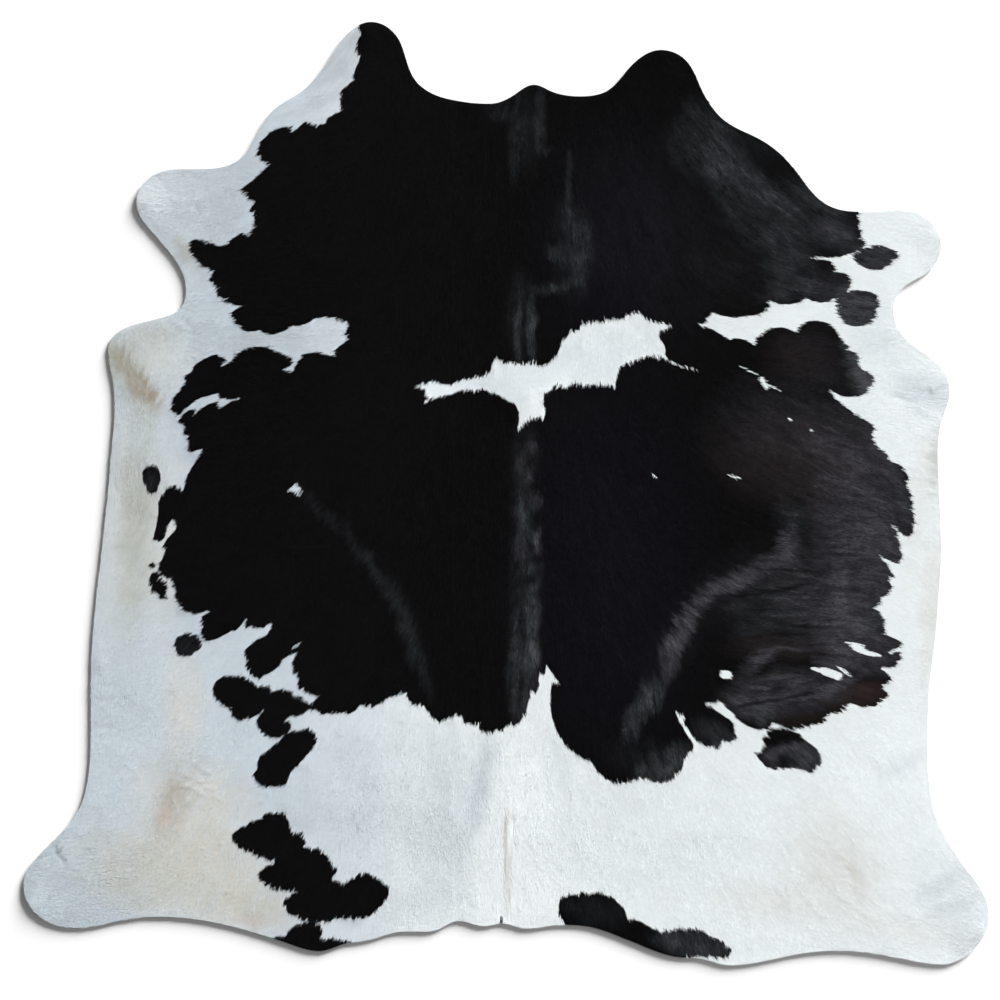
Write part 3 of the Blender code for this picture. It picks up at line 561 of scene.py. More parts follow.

# ---- stains and tints of the white coat, and painted shade: the cool_shade tone is
# painted shade in troughs, creases and hollows, and the grey rows at the hock, elbow
# and neck creases are painted shade along them.  Columns: tone, middle, half
# length, half width, heading, strength ----
TINTS = (
    # zone                      tone     across  down  long  wide  heading strength
    ("left flank stain",         "brown",    146,   389,   26,   12,    50,   0.90),
    ("left flank stain out",     "olive",    134,   380,   40,   22,    56,   0.72),
    ("left flank stain top",     "brown",    122,   360,   18,   10,    50,   0.52),
    ("left flank stain rim",     "olive",    118,   355,   26,   16,    60,   0.78),
    ("left flank stain low",     "olive",    152,   424,   22,   12,    95,   0.15),
    ("left belly band high",    "olive",   139,   470,   60,   20,     95,   0.52),
    ("left belly band",          "olive",    137,   545,   70,   20,    93,   0.84),
    ("left belly band low",      "olive",    132,   612,   48,   20,    92,   0.22),
    ("left belly warm",         "cream",   124,   520,  120,   34,     94,   0.45),
    ("left foreleg spot",       "tan",     184,   247,   13,    7,     70,   0.42),
    ("left foreleg spot out",   "olive",   190,   256,   22,   10,     56,   0.45),
    ("left foreleg shade",       "grey",     226,   218,   30,   16,   120,   0.18),
    ("left foreleg smudge",      "grey",     214,   204,   14,    8,    40,   0.12),
    ("left foreleg mottle",     "grey",    190,   214,   30,   10,    150,   0.10),
    ("left elbow shade",        "olive",   150,   336,   40,   14,    -10,   0.30),
    ("left neck shade",          "grey",     336,    66,   44,   24,   120,   0.42),
    ("left neck line",          "grey",    316,   106,   26,    5,    160,   0.16),
    ("left thigh cream",        "cream",   184,   704,   60,   22,     90,   0.55),
    ("left thigh scratch",      "tan",     172,   694,    8,    1.3,   78,   0.50),
    ("left thigh scratch low",  "tan",     175,   718,    8,    1.2,   84,   0.25),
    ("left haunch streak",       "tan",      167,   808,   23,    7,   108,   0.42),
    ("left haunch tan",          "tan",      172,   806,   40,   20,   106,   0.46),
    ("left rump shade",         "olive",   190,   862,   96,   46,     10,   0.20),
    ("left haunch tan out",      "cream",    196,   800,   66,   44,    20,   0.74),
    ("left haunch dust",         "tan",      216,   846,   60,   26,    10,   0.08),
    ("left rump cream",         "cream",   190,   872,  110,   50,      8,   0.80),
    ("left rump cream low",     "cream",   245,   905,   62,   26,     14,   0.60),
    ("left leg shade",           "olive",    130,   886,   44,   26,    10,   0.16),
    ("left rump blush",         "blush",   252,   917,   16,    8,     10,   0.55),
    # painted shade: thin dark grey lines along the left hock and elbow creases
    ("left hock shade",          "grey",      60,   849,   11,  1.9,    68,   0.70),
    ("left hock shade cross",    "grey",      46,   857,   12,  1.5,    -8,   0.62),
    ("left elbow wrinkle",       "grey",     182,   325,   12,  2.2,    10,   0.26),
    ("left elbow wrinkle low",   "grey",     175,   331,   10,  2.0,    58,   0.26),
    # painted shade: the tail trough and the rump's hollow left of it, cool and grey
    ("tail trough shade",       "cool_shade",    478,   786,   64,   15,    104,   1.00),
    ("tail trough grey",        "grey",    480,   790,   50,    7,    104,   0.16),
    ("rump shade left",          "cool_shade",     444,   822,  116,   34,    92,   0.80),
    ("tail hair line",          "cream",   507,   856,   60,    3,     91,   0.70),
    ("tail hair line grey",     "grey",    509,   880,   36,    1.6,   91,   0.22),
    ("left rump edge grey",     "grey",    352,   915,   16,   10,      0,   0.22),
    ("right haunch cream",       "cream",    832,   868,   76,   56,    70,   0.32),
    ("right haunch core",        "tan",      855,   880,   22,    8,    76,   0.22),
    ("right haunch swirl",       "tan",      834,   856,   24,    8,    10,   0.10),
    ("right leg cream",         "cream",   910,   932,   60,   20,      6,   0.22),
    ("right rump cream",        "cream",   760,   900,   50,   24,     10,   0.28),
    ("right flank edge",        "olive",   934,   458,   34,    9,     92,   0.42),
    ("right flank edge low",    "cream",   930,   610,   80,   14,     94,   0.40),
    ("right belly cream",        "cream",    912,   540,   60,   16,    92,   0.18),
    # painted shade: the right elbow, hock and thigh creases, cool with grey lines
    ("right elbow shade",       "cool_shade",    922,   392,   36,   22,     20,   0.80),
    ("right elbow line",         "grey",    940.6,   387,   10,  1.5,   -19,   0.34),
    ("right elbow line two",     "grey",     921,  392.5,   11,  1.5,    -6,   0.30),
    ("right elbow line three",   "grey",    928.6,  391.5,    5,  2.2,    88,   0.42),
    ("right hock shade",         "cool_shade",     940,   884,   34,   11,   150,   0.60),
    ("right hock shade low",    "cool_shade",    952,   906,   28,    9,    158,   0.55),
    ("right thigh shade",        "cool_shade",     902,   764,   32,    8,   150,   0.40),
    ("right rump cool",         "cool_shade",    560,   760,   40,   14,     80,   0.30),
    ("left neck cool",           "cool_shade",     320,    88,   74,   40,   130,   0.40),
    ("left armpit cool",         "cool_shade",     268,   326,   84,   30,     4,   0.50),
    ("left elbow cream",         "cream",    150,   352,   44,   34,    20,   0.55),
    ("left ribs cream",          "cream",    166,   540,   96,   24,    92,   0.50),
    ("left thigh shade",         "grey",     184,   774,   40,   28,   100,   0.24),
    ("rump cool left wide",      "cool_shade",     380,   790,   90,   60,    90,   0.22),
    ("right rump cool wide",     "cool_shade",     650,   830,  120,   74,    10,   0.26),
    ("cross cool",               "cool_shade",     560,   362,  130,   34,   -14,   0.40),
    ("cross cool left",          "cool_shade",     470,   388,   50,   22,     0,   0.50),
    ("right foot cool",          "cool_shade",     958,   902,   62,   42,    50,   0.38),
    ("right arm cool",           "cool_shade",     882,   336,   40,   30,    20,   0.42),
    ("right upper flank cream",  "cream",    928,   470,   44,   20,    92,   0.28),
    # painted shade: thin grey lines along the left elbow creases
    ("left elbow line",          "grey",     188,  318.5,   13,  1.6,    14,   0.40),
    ("left elbow line low",      "grey",     194,   329,   11,  1.5,    34,   0.40),
    ("rump grey left",           "grey",     385,   800,  110,   74,    90,   0.12),
    ("rump grey middle",         "grey",     466,   866,   60,   34,    92,   0.08),
    ("right haunch olive",       "olive",    838,   872,   60,   40,    80,   0.06),
    ("left leg olive",           "olive",    104,   868,   40,   24,    20,   0.02),
    ("left haunch blush",        "blush",    167,   816,   12,    7,   100,   0.55),
    ("left rump low olive",      "olive",    250,   900,   44,   24,    10,   0.12),
    ("left hock bend shade",     "grey",      96,   820,   24,    7,     8,   0.06),
    ("right elbow line four",    "grey",     902,  399.5,   12,  1.8,    20,   0.26),
    ("right arm olive",          "olive",    887,   341,    9,    7,     0,   0.16),
    ("left haunch foot",         "olive",    174,   898,   62,   26,     6,   0.30),
    ("left haunch side",         "olive",    150,   856,   30,   16,    80,   0.17),
    ("left haunch crown",        "olive",    207,   803,   24,   14,     0,   0.30),
    ("left rump foot",           "olive",    260,   908,   36,   12,    12,   0.18),
)
# ---- painted sheen of the black coat: sheen and violet_sheen are painted highlight, ----
# dim rows cut painted shade lines and gaps into it; and the coat's own rust bleach
# and navy tint, in the same columns ----
GLEAMS = (
    ("crest streak left",       "sheen",   515,   142,   44,    5,     91,   0.14),
    ("crest haze left",         "sheen",   503,   110,   16,   10,      0,   0.16),
    ("crest streak right",      "sheen",   541,   120,   34,    7,     88,   0.25),
    ("crest streak foot",       "sheen",   546,   147,   10,    4,     10,   0.18),
    ("cowlick neck",             "sheen",    568,   180,   36,    4,    90,   0.26),
    ("cowlick",                  "sheen",    572,   246,   48,   22,    86,   0.17),
    ("cowlick right side",       "sheen",    580,   248,   40,   12,    88,   0.20),
    ("cowlick step",             "sheen",    555,   283,   29,    5,   168,   0.30),
    ("withers streak left",      "sheen",    519,   326,   36,  4.2,    90,   0.50),
    ("withers streak right",     "sheen",    532,   326,   38,  4.2,    91,   0.52),
    ("spine column high",        "sheen",    525,   480,   76,   15,    90,   0.15),
    ("spine column",             "sheen",    526,   586,   90,   16,    90,   0.19),
    ("spine column low",         "sheen",    523,   668,   60,   16,    91,   0.42),
    ("shoulder gleam high",      "sheen",    696,   150,   38,   24,    56,   0.24),
    ("shoulder gleam neck",      "sheen",    728,   164,   36,   19,    34,   0.46),
    ("shoulder gleam",           "sheen",    768,   197,   46,   18,    22,   0.38),
    ("shoulder gleam middle",    "sheen",    786,   226,   42,   28,    40,   0.30),
    ("shoulder gleam low",       "violet_sheen",   828,   228,   20,   15,    20,   0.26),
    ("shoulder gleam edge",      "sheen",    842,   236,   24,   18,     0,   0.36),
    ("shoulder mottle",          "sheen",    788,   268,   30,   24,    60,   0.32),
    ("shoulder haze low",        "violet_sheen",   745,   270,   54,   30,     0,   0.03),
    ("shoulder wedge",           "dim",      782,   167,   32,   11,    36,   0.88),
    ("left haunch arc high",    "sheen",   324,   512,   36,    5,     50,   0.09),
    ("left haunch arc",         "sheen",   374,   568,   50,    7,     57,   0.17),
    ("left haunch arc low",     "sheen",   411,   638,   62,    9,     72,   0.18),
    ("right side haze",          "navy",     610,   560,  190,   90,    90,   0.09),
    ("right flank haze",         "violet_sheen",   864,   535,   86,   52,    84,   0.46),
    ("right flank haze edge",    "sheen",    890,   566,   60,   18,    84,   0.20),
    ("right ribs haze",          "violet_sheen",   808,   436,   96,   60,     8,   0.16),
    ("right flank haze low",     "violet_sheen",   840,   636,   38,   28,    90,   0.52),
    ("right flank band",         "violet_sheen",   838,   604,   74,   11,    92,   0.34),
    ("right flank middle haze",  "violet_sheen",   812,   586,   44,   40,    90,   0.23),
    ("right flank inner haze",   "sheen",    776,   612,   60,   40,     0,   0.17),
    ("right haunch arc tip",     "violet_sheen",   787,   543,   20,   10,   104,   0.44),
    ("right haunch arc start",   "violet_sheen",   774,   562,   28,   13,   158,   0.46),
    ("right haunch arc",         "violet_sheen",   735,   580,   30,   12,   154,   0.55),
    ("right haunch arc bend",    "violet_sheen",   699,   601,   28,   10,   128,   0.46),
    ("right haunch arc side",    "violet_sheen",   682,   627,   28,   10,   120,   0.66),
    ("right haunch arc low",     "violet_sheen",   669,   655,   24,   10,    98,   0.46),
    ("right haunch arc foot",    "sheen",    649,   695,   23,   15,   118,   0.54),
    ("right haunch arc end",     "sheen",    633,   720,   22,   11,   112,   0.36),
    ("right stifle glow",        "violet_sheen",   782,   692,   62,   24,    -8,   0.48),
    ("right stifle glow out",    "violet_sheen",   856,   664,   40,   13,     8,   0.30),
    ("right haunch lobes",       "sheen",    640,   756,   36,   18,     4,   0.08),
    ("right haunch lobe end",    "sheen",    662,   766,   34,   16,   -34,   0.48),
    ("right haunch lobe side",   "sheen",    716,   735,   28,   15,    36,   0.34),
    ("right haunch oval",        "sheen",    805,   757,   20,   19,    40,   0.50),
    ("right haunch oval in",     "violet_sheen",   769,   758,   12,   12,     0,   0.30),
    ("right lobe grey",          "sheen",    860,   368,   34,   16,    72,   1.00),
    ("right lobe grey in",       "violet_sheen",   812,   352,   44,   28,    20,   0.07),
    ("right elbow oval",         "sheen",    857,   308,   30,   26,     0,   0.80),
    ("right foreleg oval",       "violet_sheen",   876,   258,   32,   16,    -6,   0.26),
    ("right rump edge",          "sheen",    698,   944,   46,   16,    14,   0.58),
    ("right rump edge high",     "sheen",    598,   908,   40,   16,    10,   0.12),
    ("left flank oval",         "sheen",   152,   480,   12,    9,     90,   0.26),
    ("left thigh spot",         "sheen",   188,   645,   14,   12,      0,   0.16),
    ("right ribs brown",         "rust",     792,   458,   84,   50,     8,   0.30),
    ("right thigh brown",        "rust",     862,   694,   36,   13,    -8,   0.95),
    ("right haunch brown",      "rust",    806,   717,   50,   10,     -8,   0.30),
    ("right stifle brown",       "rust",     862,   610,   50,   40,    90,   0.10),
    ("right flank warm",         "rust",     775,   647,   52,   14,     0,   0.36),
    ("right lobe brown",         "rust",     796,   356,   40,   28,    10,   0.26),
    ("flank line one",           "dim",      734,  594.5,   26,  2.2,     0,   0.85),
    ("flank line two",           "dim",      785,  569.5,   44,  1.8,     4,   0.62),
    ("flank line three",         "dim",      768,   610,   32,  1.9,     0,   0.55),
    ("flank line four",          "dim",      812,   627,   34,  2.0,     1,   0.75),
    ("flank line five",          "dim",      772,   635,   38,  2.8,    -4,   0.80),
    ("flank line six",           "dim",      778,   624,   24,  1.7,     4,   0.50),
    ("flank line seven",         "dim",      762,   560,   26,  1.5,    -3,   0.45),
    ("flank line eight",         "dim",      838,   554,   26,  1.8,     2,   0.60),
    ("flank line nine",          "dim",      812,   600,   26,  1.5,    -3,   0.40),
    ("stifle line",              "dim",      758,   702,   30,  2.3,    -9,   0.90),
    ("stifle line two",          "dim",      800,   701,   24,  1.8,   -10,   0.55),
    ("stifle line three",        "dim",      772,   690,   24,  1.6,    -6,   0.40),
    ("stifle patch",             "dim",      763,   670,   11,    7,   -20,   0.75),
    ("stifle patch low",         "dim",      795,   720,   24,    6,    -6,   0.75),
    ("arc inside",               "dim",      712,   640,   44,   19,   104,   0.80),
    ("oval dark",                "dim",      782,   737,   20,  6.5,    -4,   0.90),
    ("oval dark low",            "dim",      786,   760,   11,    5,     6,   0.75),
    ("crest haze right",         "sheen",    524,   130,   46,   15,    88,   0.10),
    ("withers haze",             "sheen",    520,   312,   44,   14,    90,   0.12),
    ("shoulder gleam rim",       "sheen",    816,   197,   44,   12,    34,   0.52),
    ("shoulder gleam inner",     "sheen",    728,   202,   34,   15,    58,   0.20),
    ("shoulder gleam foot",      "sheen",    764,   244,   34,   14,    34,   0.20),
    ("neck rim haze",            "sheen",    714,   128,   40,   16,    48,   0.30),
    ("neck rim haze low",        "sheen",    770,   156,   44,   12,    42,   0.12),
    ("shoulder lobes",           "violet_sheen",   826,   286,   34,   20,     0,   0.17),
    ("shoulder lobes rim",       "sheen",    800,   292,   44,   12,    -6,   0.22),
    ("shoulder haze wide",       "violet_sheen",   672,   238,  110,   84,    40,   0.04),
    ("right neck haze",          "navy",     620,   250,  120,   80,    90,   0.06),
    ("right flank rim",          "sheen",    898,   488,   48,    9,    72,   0.34),
    ("right flank rim high",     "sheen",    872,   440,   36,   10,    54,   0.28),
    ("right flank head",         "sheen",    790,   512,   22,   19,    90,   0.22),
    ("right ribs haze out",      "violet_sheen",   846,   456,   50,   36,    40,   0.18),
    ("right flank low rim",      "sheen",    868,   616,   34,   18,    90,   0.36),
    ("right thigh rim",          "violet_sheen",   880,   651,   26,   17,     0,   0.40),
    ("right flank inner warm",   "violet_sheen",   772,   610,   60,   42,     0,   0.10),
    ("right haunch arc haze",    "violet_sheen",   706,   606,   90,   26,   132,   0.05),
    ("stifle glow head",         "violet_sheen",   757,   662,   20,    8,   -30,   0.46),
    ("stifle glow end",          "violet_sheen",   741,   703,   16,    9,    30,   0.30),
    ("stifle glow foot",         "sheen",    762,   711,   15,   11,    80,   0.50),
    ("stifle rim strip",         "violet_sheen",   829,   688,   32,  6.5,   -24,   0.52),
    ("stifle strip",             "violet_sheen",   780,   650,   30,  2.4,    -6,   0.40),
    ("right haunch lobe rim",    "sheen",    680,   752,   14,   12,     0,   0.30),
    ("right haunch oval mid",    "violet_sheen",   800,   758,   20,   16,    40,   0.18),
    ("oval strip",               "violet_sheen",   784,   748,   20,    5,   -22,   0.55),
    ("right elbow oval top",     "violet_sheen",   857,   306,   24,   20,     0,   0.22),
    ("right foreleg oval rim",   "sheen",    876,   257,   36,   20,    -6,   0.46),
    ("flank line one end",       "dim",      785,   588,   30,  2.4,   -12,   0.80),
    ("flank line ten",           "dim",      770,   618,   26,  1.5,     2,   0.40),
    ("flank line eleven",        "dim",      818,   654,   28,  1.7,     2,   0.55),
    ("flank line twelve",        "dim",      796,   579,   26,  1.6,     2,   0.35),
    ("stifle line end",          "dim",      798,   695,   24,  2.2,   -12,   0.80),
    ("stifle line four",         "dim",      812,   681,   18,  1.9,   -14,   0.55),
    ("stifle patch right",       "dim",      776,   688,   10,    7,     0,   0.65),
    ("right elbow oval rim",     "sheen",    857,   318,   30,   12,     0,   0.30),
    ("spine tuft one",           "violet_sheen",   529,   445,   10,    7,    80,   0.26),
    ("spine tuft two",           "violet_sheen",   521,   460,   10,    6,    90,   0.28),
    ("spine tuft three",         "violet_sheen",   527,   474,    9,    7,    60,   0.26),
    ("spine break one",          "dim",      538,   484,   10,    5,     0,   0.80),
    ("spine tuft four",          "violet_sheen",   535,   497,   11,    6,    90,   0.22),
    ("spine tuft five",          "sheen",    521,   507,   10,    6,    60,   0.34),
    ("spine break two",          "dim",      535,   519,    9,    6,    90,   0.70),
    ("spine tuft six",           "sheen",    523,   526,   14,    6,    90,   0.30),
    ("spine tuft seven",         "violet_sheen",   537,   540,   13,    5,    88,   0.44),
    ("spine tuft eight",         "violet_sheen",   520,   549,   11,    7,    90,   0.28),
    ("spine break three",        "dim",      534,   556,    9,    4,     0,   0.70),
    ("spine tuft nine",          "sheen",    530,   566,   14,    5,   -10,   0.34),
    ("spine break four",         "dim",      531,   577,   10,    5,   -20,   0.80),
    ("spine stroke",             "sheen",    534,   612,   36,    6,    90,   0.54),
    ("spine shade",              "dim",      521,   629,   20,    6,    92,   0.60),
    ("spine stroke low",         "violet_sheen",   533,   650,   14,    6,    88,   0.46),
    ("spine shade low",          "dim",      521,   690,   22,  4.4,    98,   0.60),
    ("spine edge low",           "sheen",    512,   650,   16,    4,    94,   0.20),
    ("cowlick knot",             "sheen",    572,   254,   15,   10,    30,   0.20),
    ("cowlick knot left",        "sheen",    553,   253,   12,    7,    40,   0.20),
    ("cowlick foot",             "sheen",    567,   281,   18,    8,   -20,   0.22),
    ("cowlick dark",             "dim",      554,   269,   11,    8,     0,   0.65),
    ("cowlick dark high",        "dim",      556,   232,   12,    9,     0,   0.55),
    ("cowlick top",              "sheen",    567,   210,   10,    6,    60,   0.18),
    ("right lobe grey rim",      "violet_sheen",   862,   372,   20,   12,    72,   0.40),
)


# ---------------------------------------------------------------- geometry

def heading_vector(degrees):
    """Unit vector of a heading, on the layout (y down)."""
    a = math.radians(degrees)
    return np.array((math.cos(a), math.sin(a)))


def edge_curve(rows, span, turn):
    """Points along the smooth closed edge through the rows, on the layout."""
    points = []
    for i, (_, x0, y0, h0) in enumerate(rows):
        _, x1, y1, h1 = rows[(i + 1) % len(rows)]
        p0, p1 = np.array((x0, y0)), np.array((x1, y1))
        bend = (h1 - h0 + 180.0) % 360.0 - 180.0
        chord = float(np.linalg.norm(p1 - p0))
        reach = chord / math.cos(math.radians(bend) / 4.0) ** 2
        t0, t1 = heading_vector(h0) * reach, heading_vector(h1) * reach
        run = (p1 - p0) / chord
        swing = sum(
            math.degrees(math.acos(max(-1.0, min(1.0, float(np.dot(run, heading_vector(h)))))))
            for h in (h0, h1)
        )
        steps = max(1, math.ceil(chord / span), math.ceil(swing / turn))
        for k in range(steps):
            t = k / steps
            a = 2 * t**3 - 3 * t**2 + 1
            b = t**3 - 2 * t**2 + t
            c = -2 * t**3 + 3 * t**2
            d = t**3 - t**2
            points.append(a * p0 + b * t0 + c * p1 + d * t1)
    return np.array(points)


EDGE_ROWS = NECK_EDGE + RIGHT_EDGE + TAIL_EDGE + LEFT_EDGE
_fine = edge_curve(EDGE_ROWS, 2.0, 5.0)
UNIT = HIDE_WIDTH / float(np.ptp(_fine[:, 0]))          # metres for one layout unit
LAYOUT_MIDDLE = (_fine.min(axis=0) + _fine.max(axis=0)) / 2


def place(points):
    """Layout units (y down) to metres on the floor (y towards the neck)."""
    p = (np.asarray(points, float).reshape(-1, 2) - LAYOUT_MIDDLE) * UNIT
    return p * (1.0, -1.0)


def even_ring(points, span):
    """A closed ring walked again at even steps."""
    loop = np.vstack((points, points[:1]))
    run = np.concatenate(([0.0], np.cumsum(np.linalg.norm(np.diff(loop, axis=0), axis=1))))
    count = max(8, int(round(run[-1] / span)))
    at = np.linspace(0, run[-1], count, endpoint=False)
    return np.stack([np.interp(at, run, loop[:, k]) for k in (0, 1)], axis=1)


def arc_ring(rows, step=1.0):
    """Closed ring through the rows; each side bows out to its left by its swell."""
    points = []
    for i, (x0, y0, swell) in enumerate(rows):
        x1, y1, _ = rows[(i + 1) % len(rows)]
        p0, p1 = np.array((x0, y0), float), np.array((x1, y1), float)
        way = p1 - p0
        chord = float(np.linalg.norm(way))
        left = np.array((way[1], -way[0])) / chord
        steps = max(1, math.ceil(chord / step))
        for k in range(steps):
            t = k / steps
            points.append(p0 + way * t + left * (4 * swell * t * (1 - t)))
    return np.array(points)


def push(ring, distance):
    """A closed clockwise ring moved inwards along the mean of its sides' normals."""
    back = ring - np.roll(ring, 1, axis=0)
    ahead = np.roll(ring, -1, axis=0) - ring
    back /= np.linalg.norm(back, axis=1)[:, None]
    ahead /= np.linalg.norm(ahead, axis=1)[:, None]
    along = back + ahead
    along /= np.linalg.norm(along, axis=1)[:, None]
    return ring + np.stack((along[:, 1], -along[:, 0]), axis=1) * distance


def within(points, ring, row=0.0004):
    """Which points lie inside the ring, found row by row."""
    inside = np.zeros(len(points), bool)
    low, high = ring.min(axis=0), ring.max(axis=0)
    near = np.nonzero(((points >= low) & (points <= high)).all(axis=1))[0]
    if not len(near):
        return inside
    rows = np.floor((points[near, 1] - low[1]) / row).astype(int)
    order = np.argsort(rows, kind="stable")
    near, rows = near[order], rows[order]
    a, b = ring, np.roll(ring, -1, axis=0)
    rise = np.where(b[:, 1] == a[:, 1], 1e-12, b[:, 1] - a[:, 1])
    first = np.flatnonzero(np.diff(np.concatenate(([-1], rows))))
    last = np.append(first[1:], len(rows))
    for f, l in zip(first, last):
        y = low[1] + (rows[f] + 0.5) * row
        cut = (a[:, 1] > y) != (b[:, 1] > y)
        xs = np.sort(a[cut, 0] + (y - a[cut, 1]) * (b[cut, 0] - a[cut, 0]) / rise[cut])
        inside[near[f:l]] = np.searchsorted(xs, points[near[f:l], 0]) % 2 == 1
    return inside


def tree_of(points):
    tree = kdtree.KDTree(len(points))
    for i, p in enumerate(points):
        tree.insert((p[0], p[1], 0.0), i)
    tree.balance()
    return tree


def nearest(tree, points):
    """Distance to the nearest point of the tree, and which it is."""
    gap, which = np.empty(len(points)), np.empty(len(points), int)
    find = tree.find
    for i, (x, y) in enumerate(points.tolist()):
        _, which[i], gap[i] = find((x, y, 0.0))
    return gap, which


def cell_noise(points, cell, seed):
    """Smooth value noise between -1 and 1, the same on every run."""
    grid = np.random.default_rng(seed).uniform(-1, 1, (257, 257))
    q = np.asarray(points) / cell + seed * 0.37
    base = np.floor(q).astype(int)
    f = q - base
    f = f * f * (3 - 2 * f)
    i, j = base[:, 0] % 256, base[:, 1] % 256
    top = grid[j, i] * (1 - f[:, 0]) + grid[j, i + 1] * f[:, 0]
    low = grid[j + 1, i] * (1 - f[:, 0]) + grid[j + 1, i + 1] * f[:, 0]
    return top * (1 - f[:, 1]) + low * f[:, 1]


def hair_way(points):
    """Unit direction in which the hair lies, on the floor."""
    spots = place([(row[1], row[2]) for row in HAIR_FLOW])
    ways = np.array([heading_vector(row[3]) * (1.0, -1.0) for row in HAIR_FLOW])
    total = np.zeros((len(points), 2))
    for spot, way in zip(spots, ways):
        near = ((points - spot) ** 2).sum(axis=1) / 0.10**2
        total += way / (0.15 + near)[:, None] ** 1.6
    return total / np.linalg.norm(total, axis=1)[:, None]


def streaks(points, way, cell, reach, seed):
    """Noise drawn out along the hair: its mean along a short line of the flow."""
    count = 9
    total = np.zeros(len(points))
    for k in range(count):
        total += cell_noise(points + way * (reach * (k / (count - 1) - 0.5)), cell, seed)
    return total / count * 2.2


def edge_jag(points, way):
    """How far a lock of hair carries a patch's colour along itself, at the points."""
    return JAG * np.clip(streaks(points, way, JAG_CELL, JAG_REACH, 46), -1, 1)


def close_to(points, marks, reach):
    """Which points lie within about the reach of a mark, looked up on a coarse grid."""
    cell = reach / 2
    low = np.minimum(points.min(axis=0), marks.min(axis=0)) - 3 * cell
    high = np.maximum(points.max(axis=0), marks.max(axis=0)) + 3 * cell
    grid = np.zeros(np.ceil((high - low) / cell).astype(int) + 1, bool)
    at = ((marks - low) / cell).astype(int)
    for i in range(-2, 3):
        for j in range(-2, 3):
            if i * i + j * j <= 5:
                grid[at[:, 0] + i, at[:, 1] + j] = True
    at = ((points - low) / cell).astype(int)
    return grid[at[:, 0], at[:, 1]]


# ---------------------------------------------------------------- heights

def crease_share(p, across, down, heading, length, width):
    middle = place((across, down))[0]
    along = heading_vector(heading) * (1.0, -1.0)
    cross = np.array((-along[1], along[0]))
    u = ((p - middle) @ along) / (length / 2)
    v = ((p - middle) @ cross) / width
    return np.exp(-v**2) * np.clip(1 - u**2, 0, 1) ** 1.5


def floor_gap(p):
    """How far the skin's underside stands off the floor."""
    gap = np.zeros(len(p))
    for _, across, down, heading, length, width, lift, _swell in FOLDS:
        if lift:
            gap += FOLD_SHOWS * lift * crease_share(p, across, down, heading, length, width)
    for _, across, down, radius, lift in LIFTED_TIPS:
        r = np.linalg.norm(p - place((across, down))[0], axis=1) / radius
        gap += lift * np.clip(1 - r, 0, 1) ** 1.6
    return np.clip(gap - FLAT_BELOW, 0.0, None)


def coat_relief(p):
    """How far the coat's surface rises or sinks by its own unevenness."""
    rise = np.zeros(len(p))
    for _, across, down, heading, length, width, _lift, swell in FOLDS:
        if swell:
            rise += swell * crease_share(p, across, down, heading, length, width)
    for _, across, down, heading, length, width, swell in WRINKLES:
        rise += swell * crease_share(p, across, down, heading, length, width)
    rise += 0.00030 * cell_noise(p, 0.110, 3) + 0.00016 * cell_noise(p, 0.045, 4)
    return rise


def coat_depth(inward):
    """Depth of the coat's sheet over the skin, by the distance from the cut edge."""
    return 0.0030 + (UNDERCOAT - 0.0030) * (1 - np.exp(-(np.clip(inward, 0, None) / COAT_ROUND) ** 1.5))


# ---------------------------------------------------------------- coat chart

def tint_share(points, row):
    _, _tone, across, down, half_long, half_wide, heading, strength = row
    middle = place((across, down))[0]
    along = heading_vector(heading) * (1.0, -1.0)
    cross = np.array((-along[1], along[0]))
    u = ((points - middle) @ along) / (half_long * UNIT)
    v = ((points - middle) @ cross) / (half_wide * UNIT)
    return strength * np.clip(1 - (u**2 + v**2) * 0.62, 0, 1) ** 1.4


def tints(points, rows, tone):
    """One tone's strength over the hide, 0 to 1."""
    left = np.ones(len(points))
    for row in rows:
        if row[1] == tone:
            left *= 1 - tint_share(points, row)
    return 1 - left


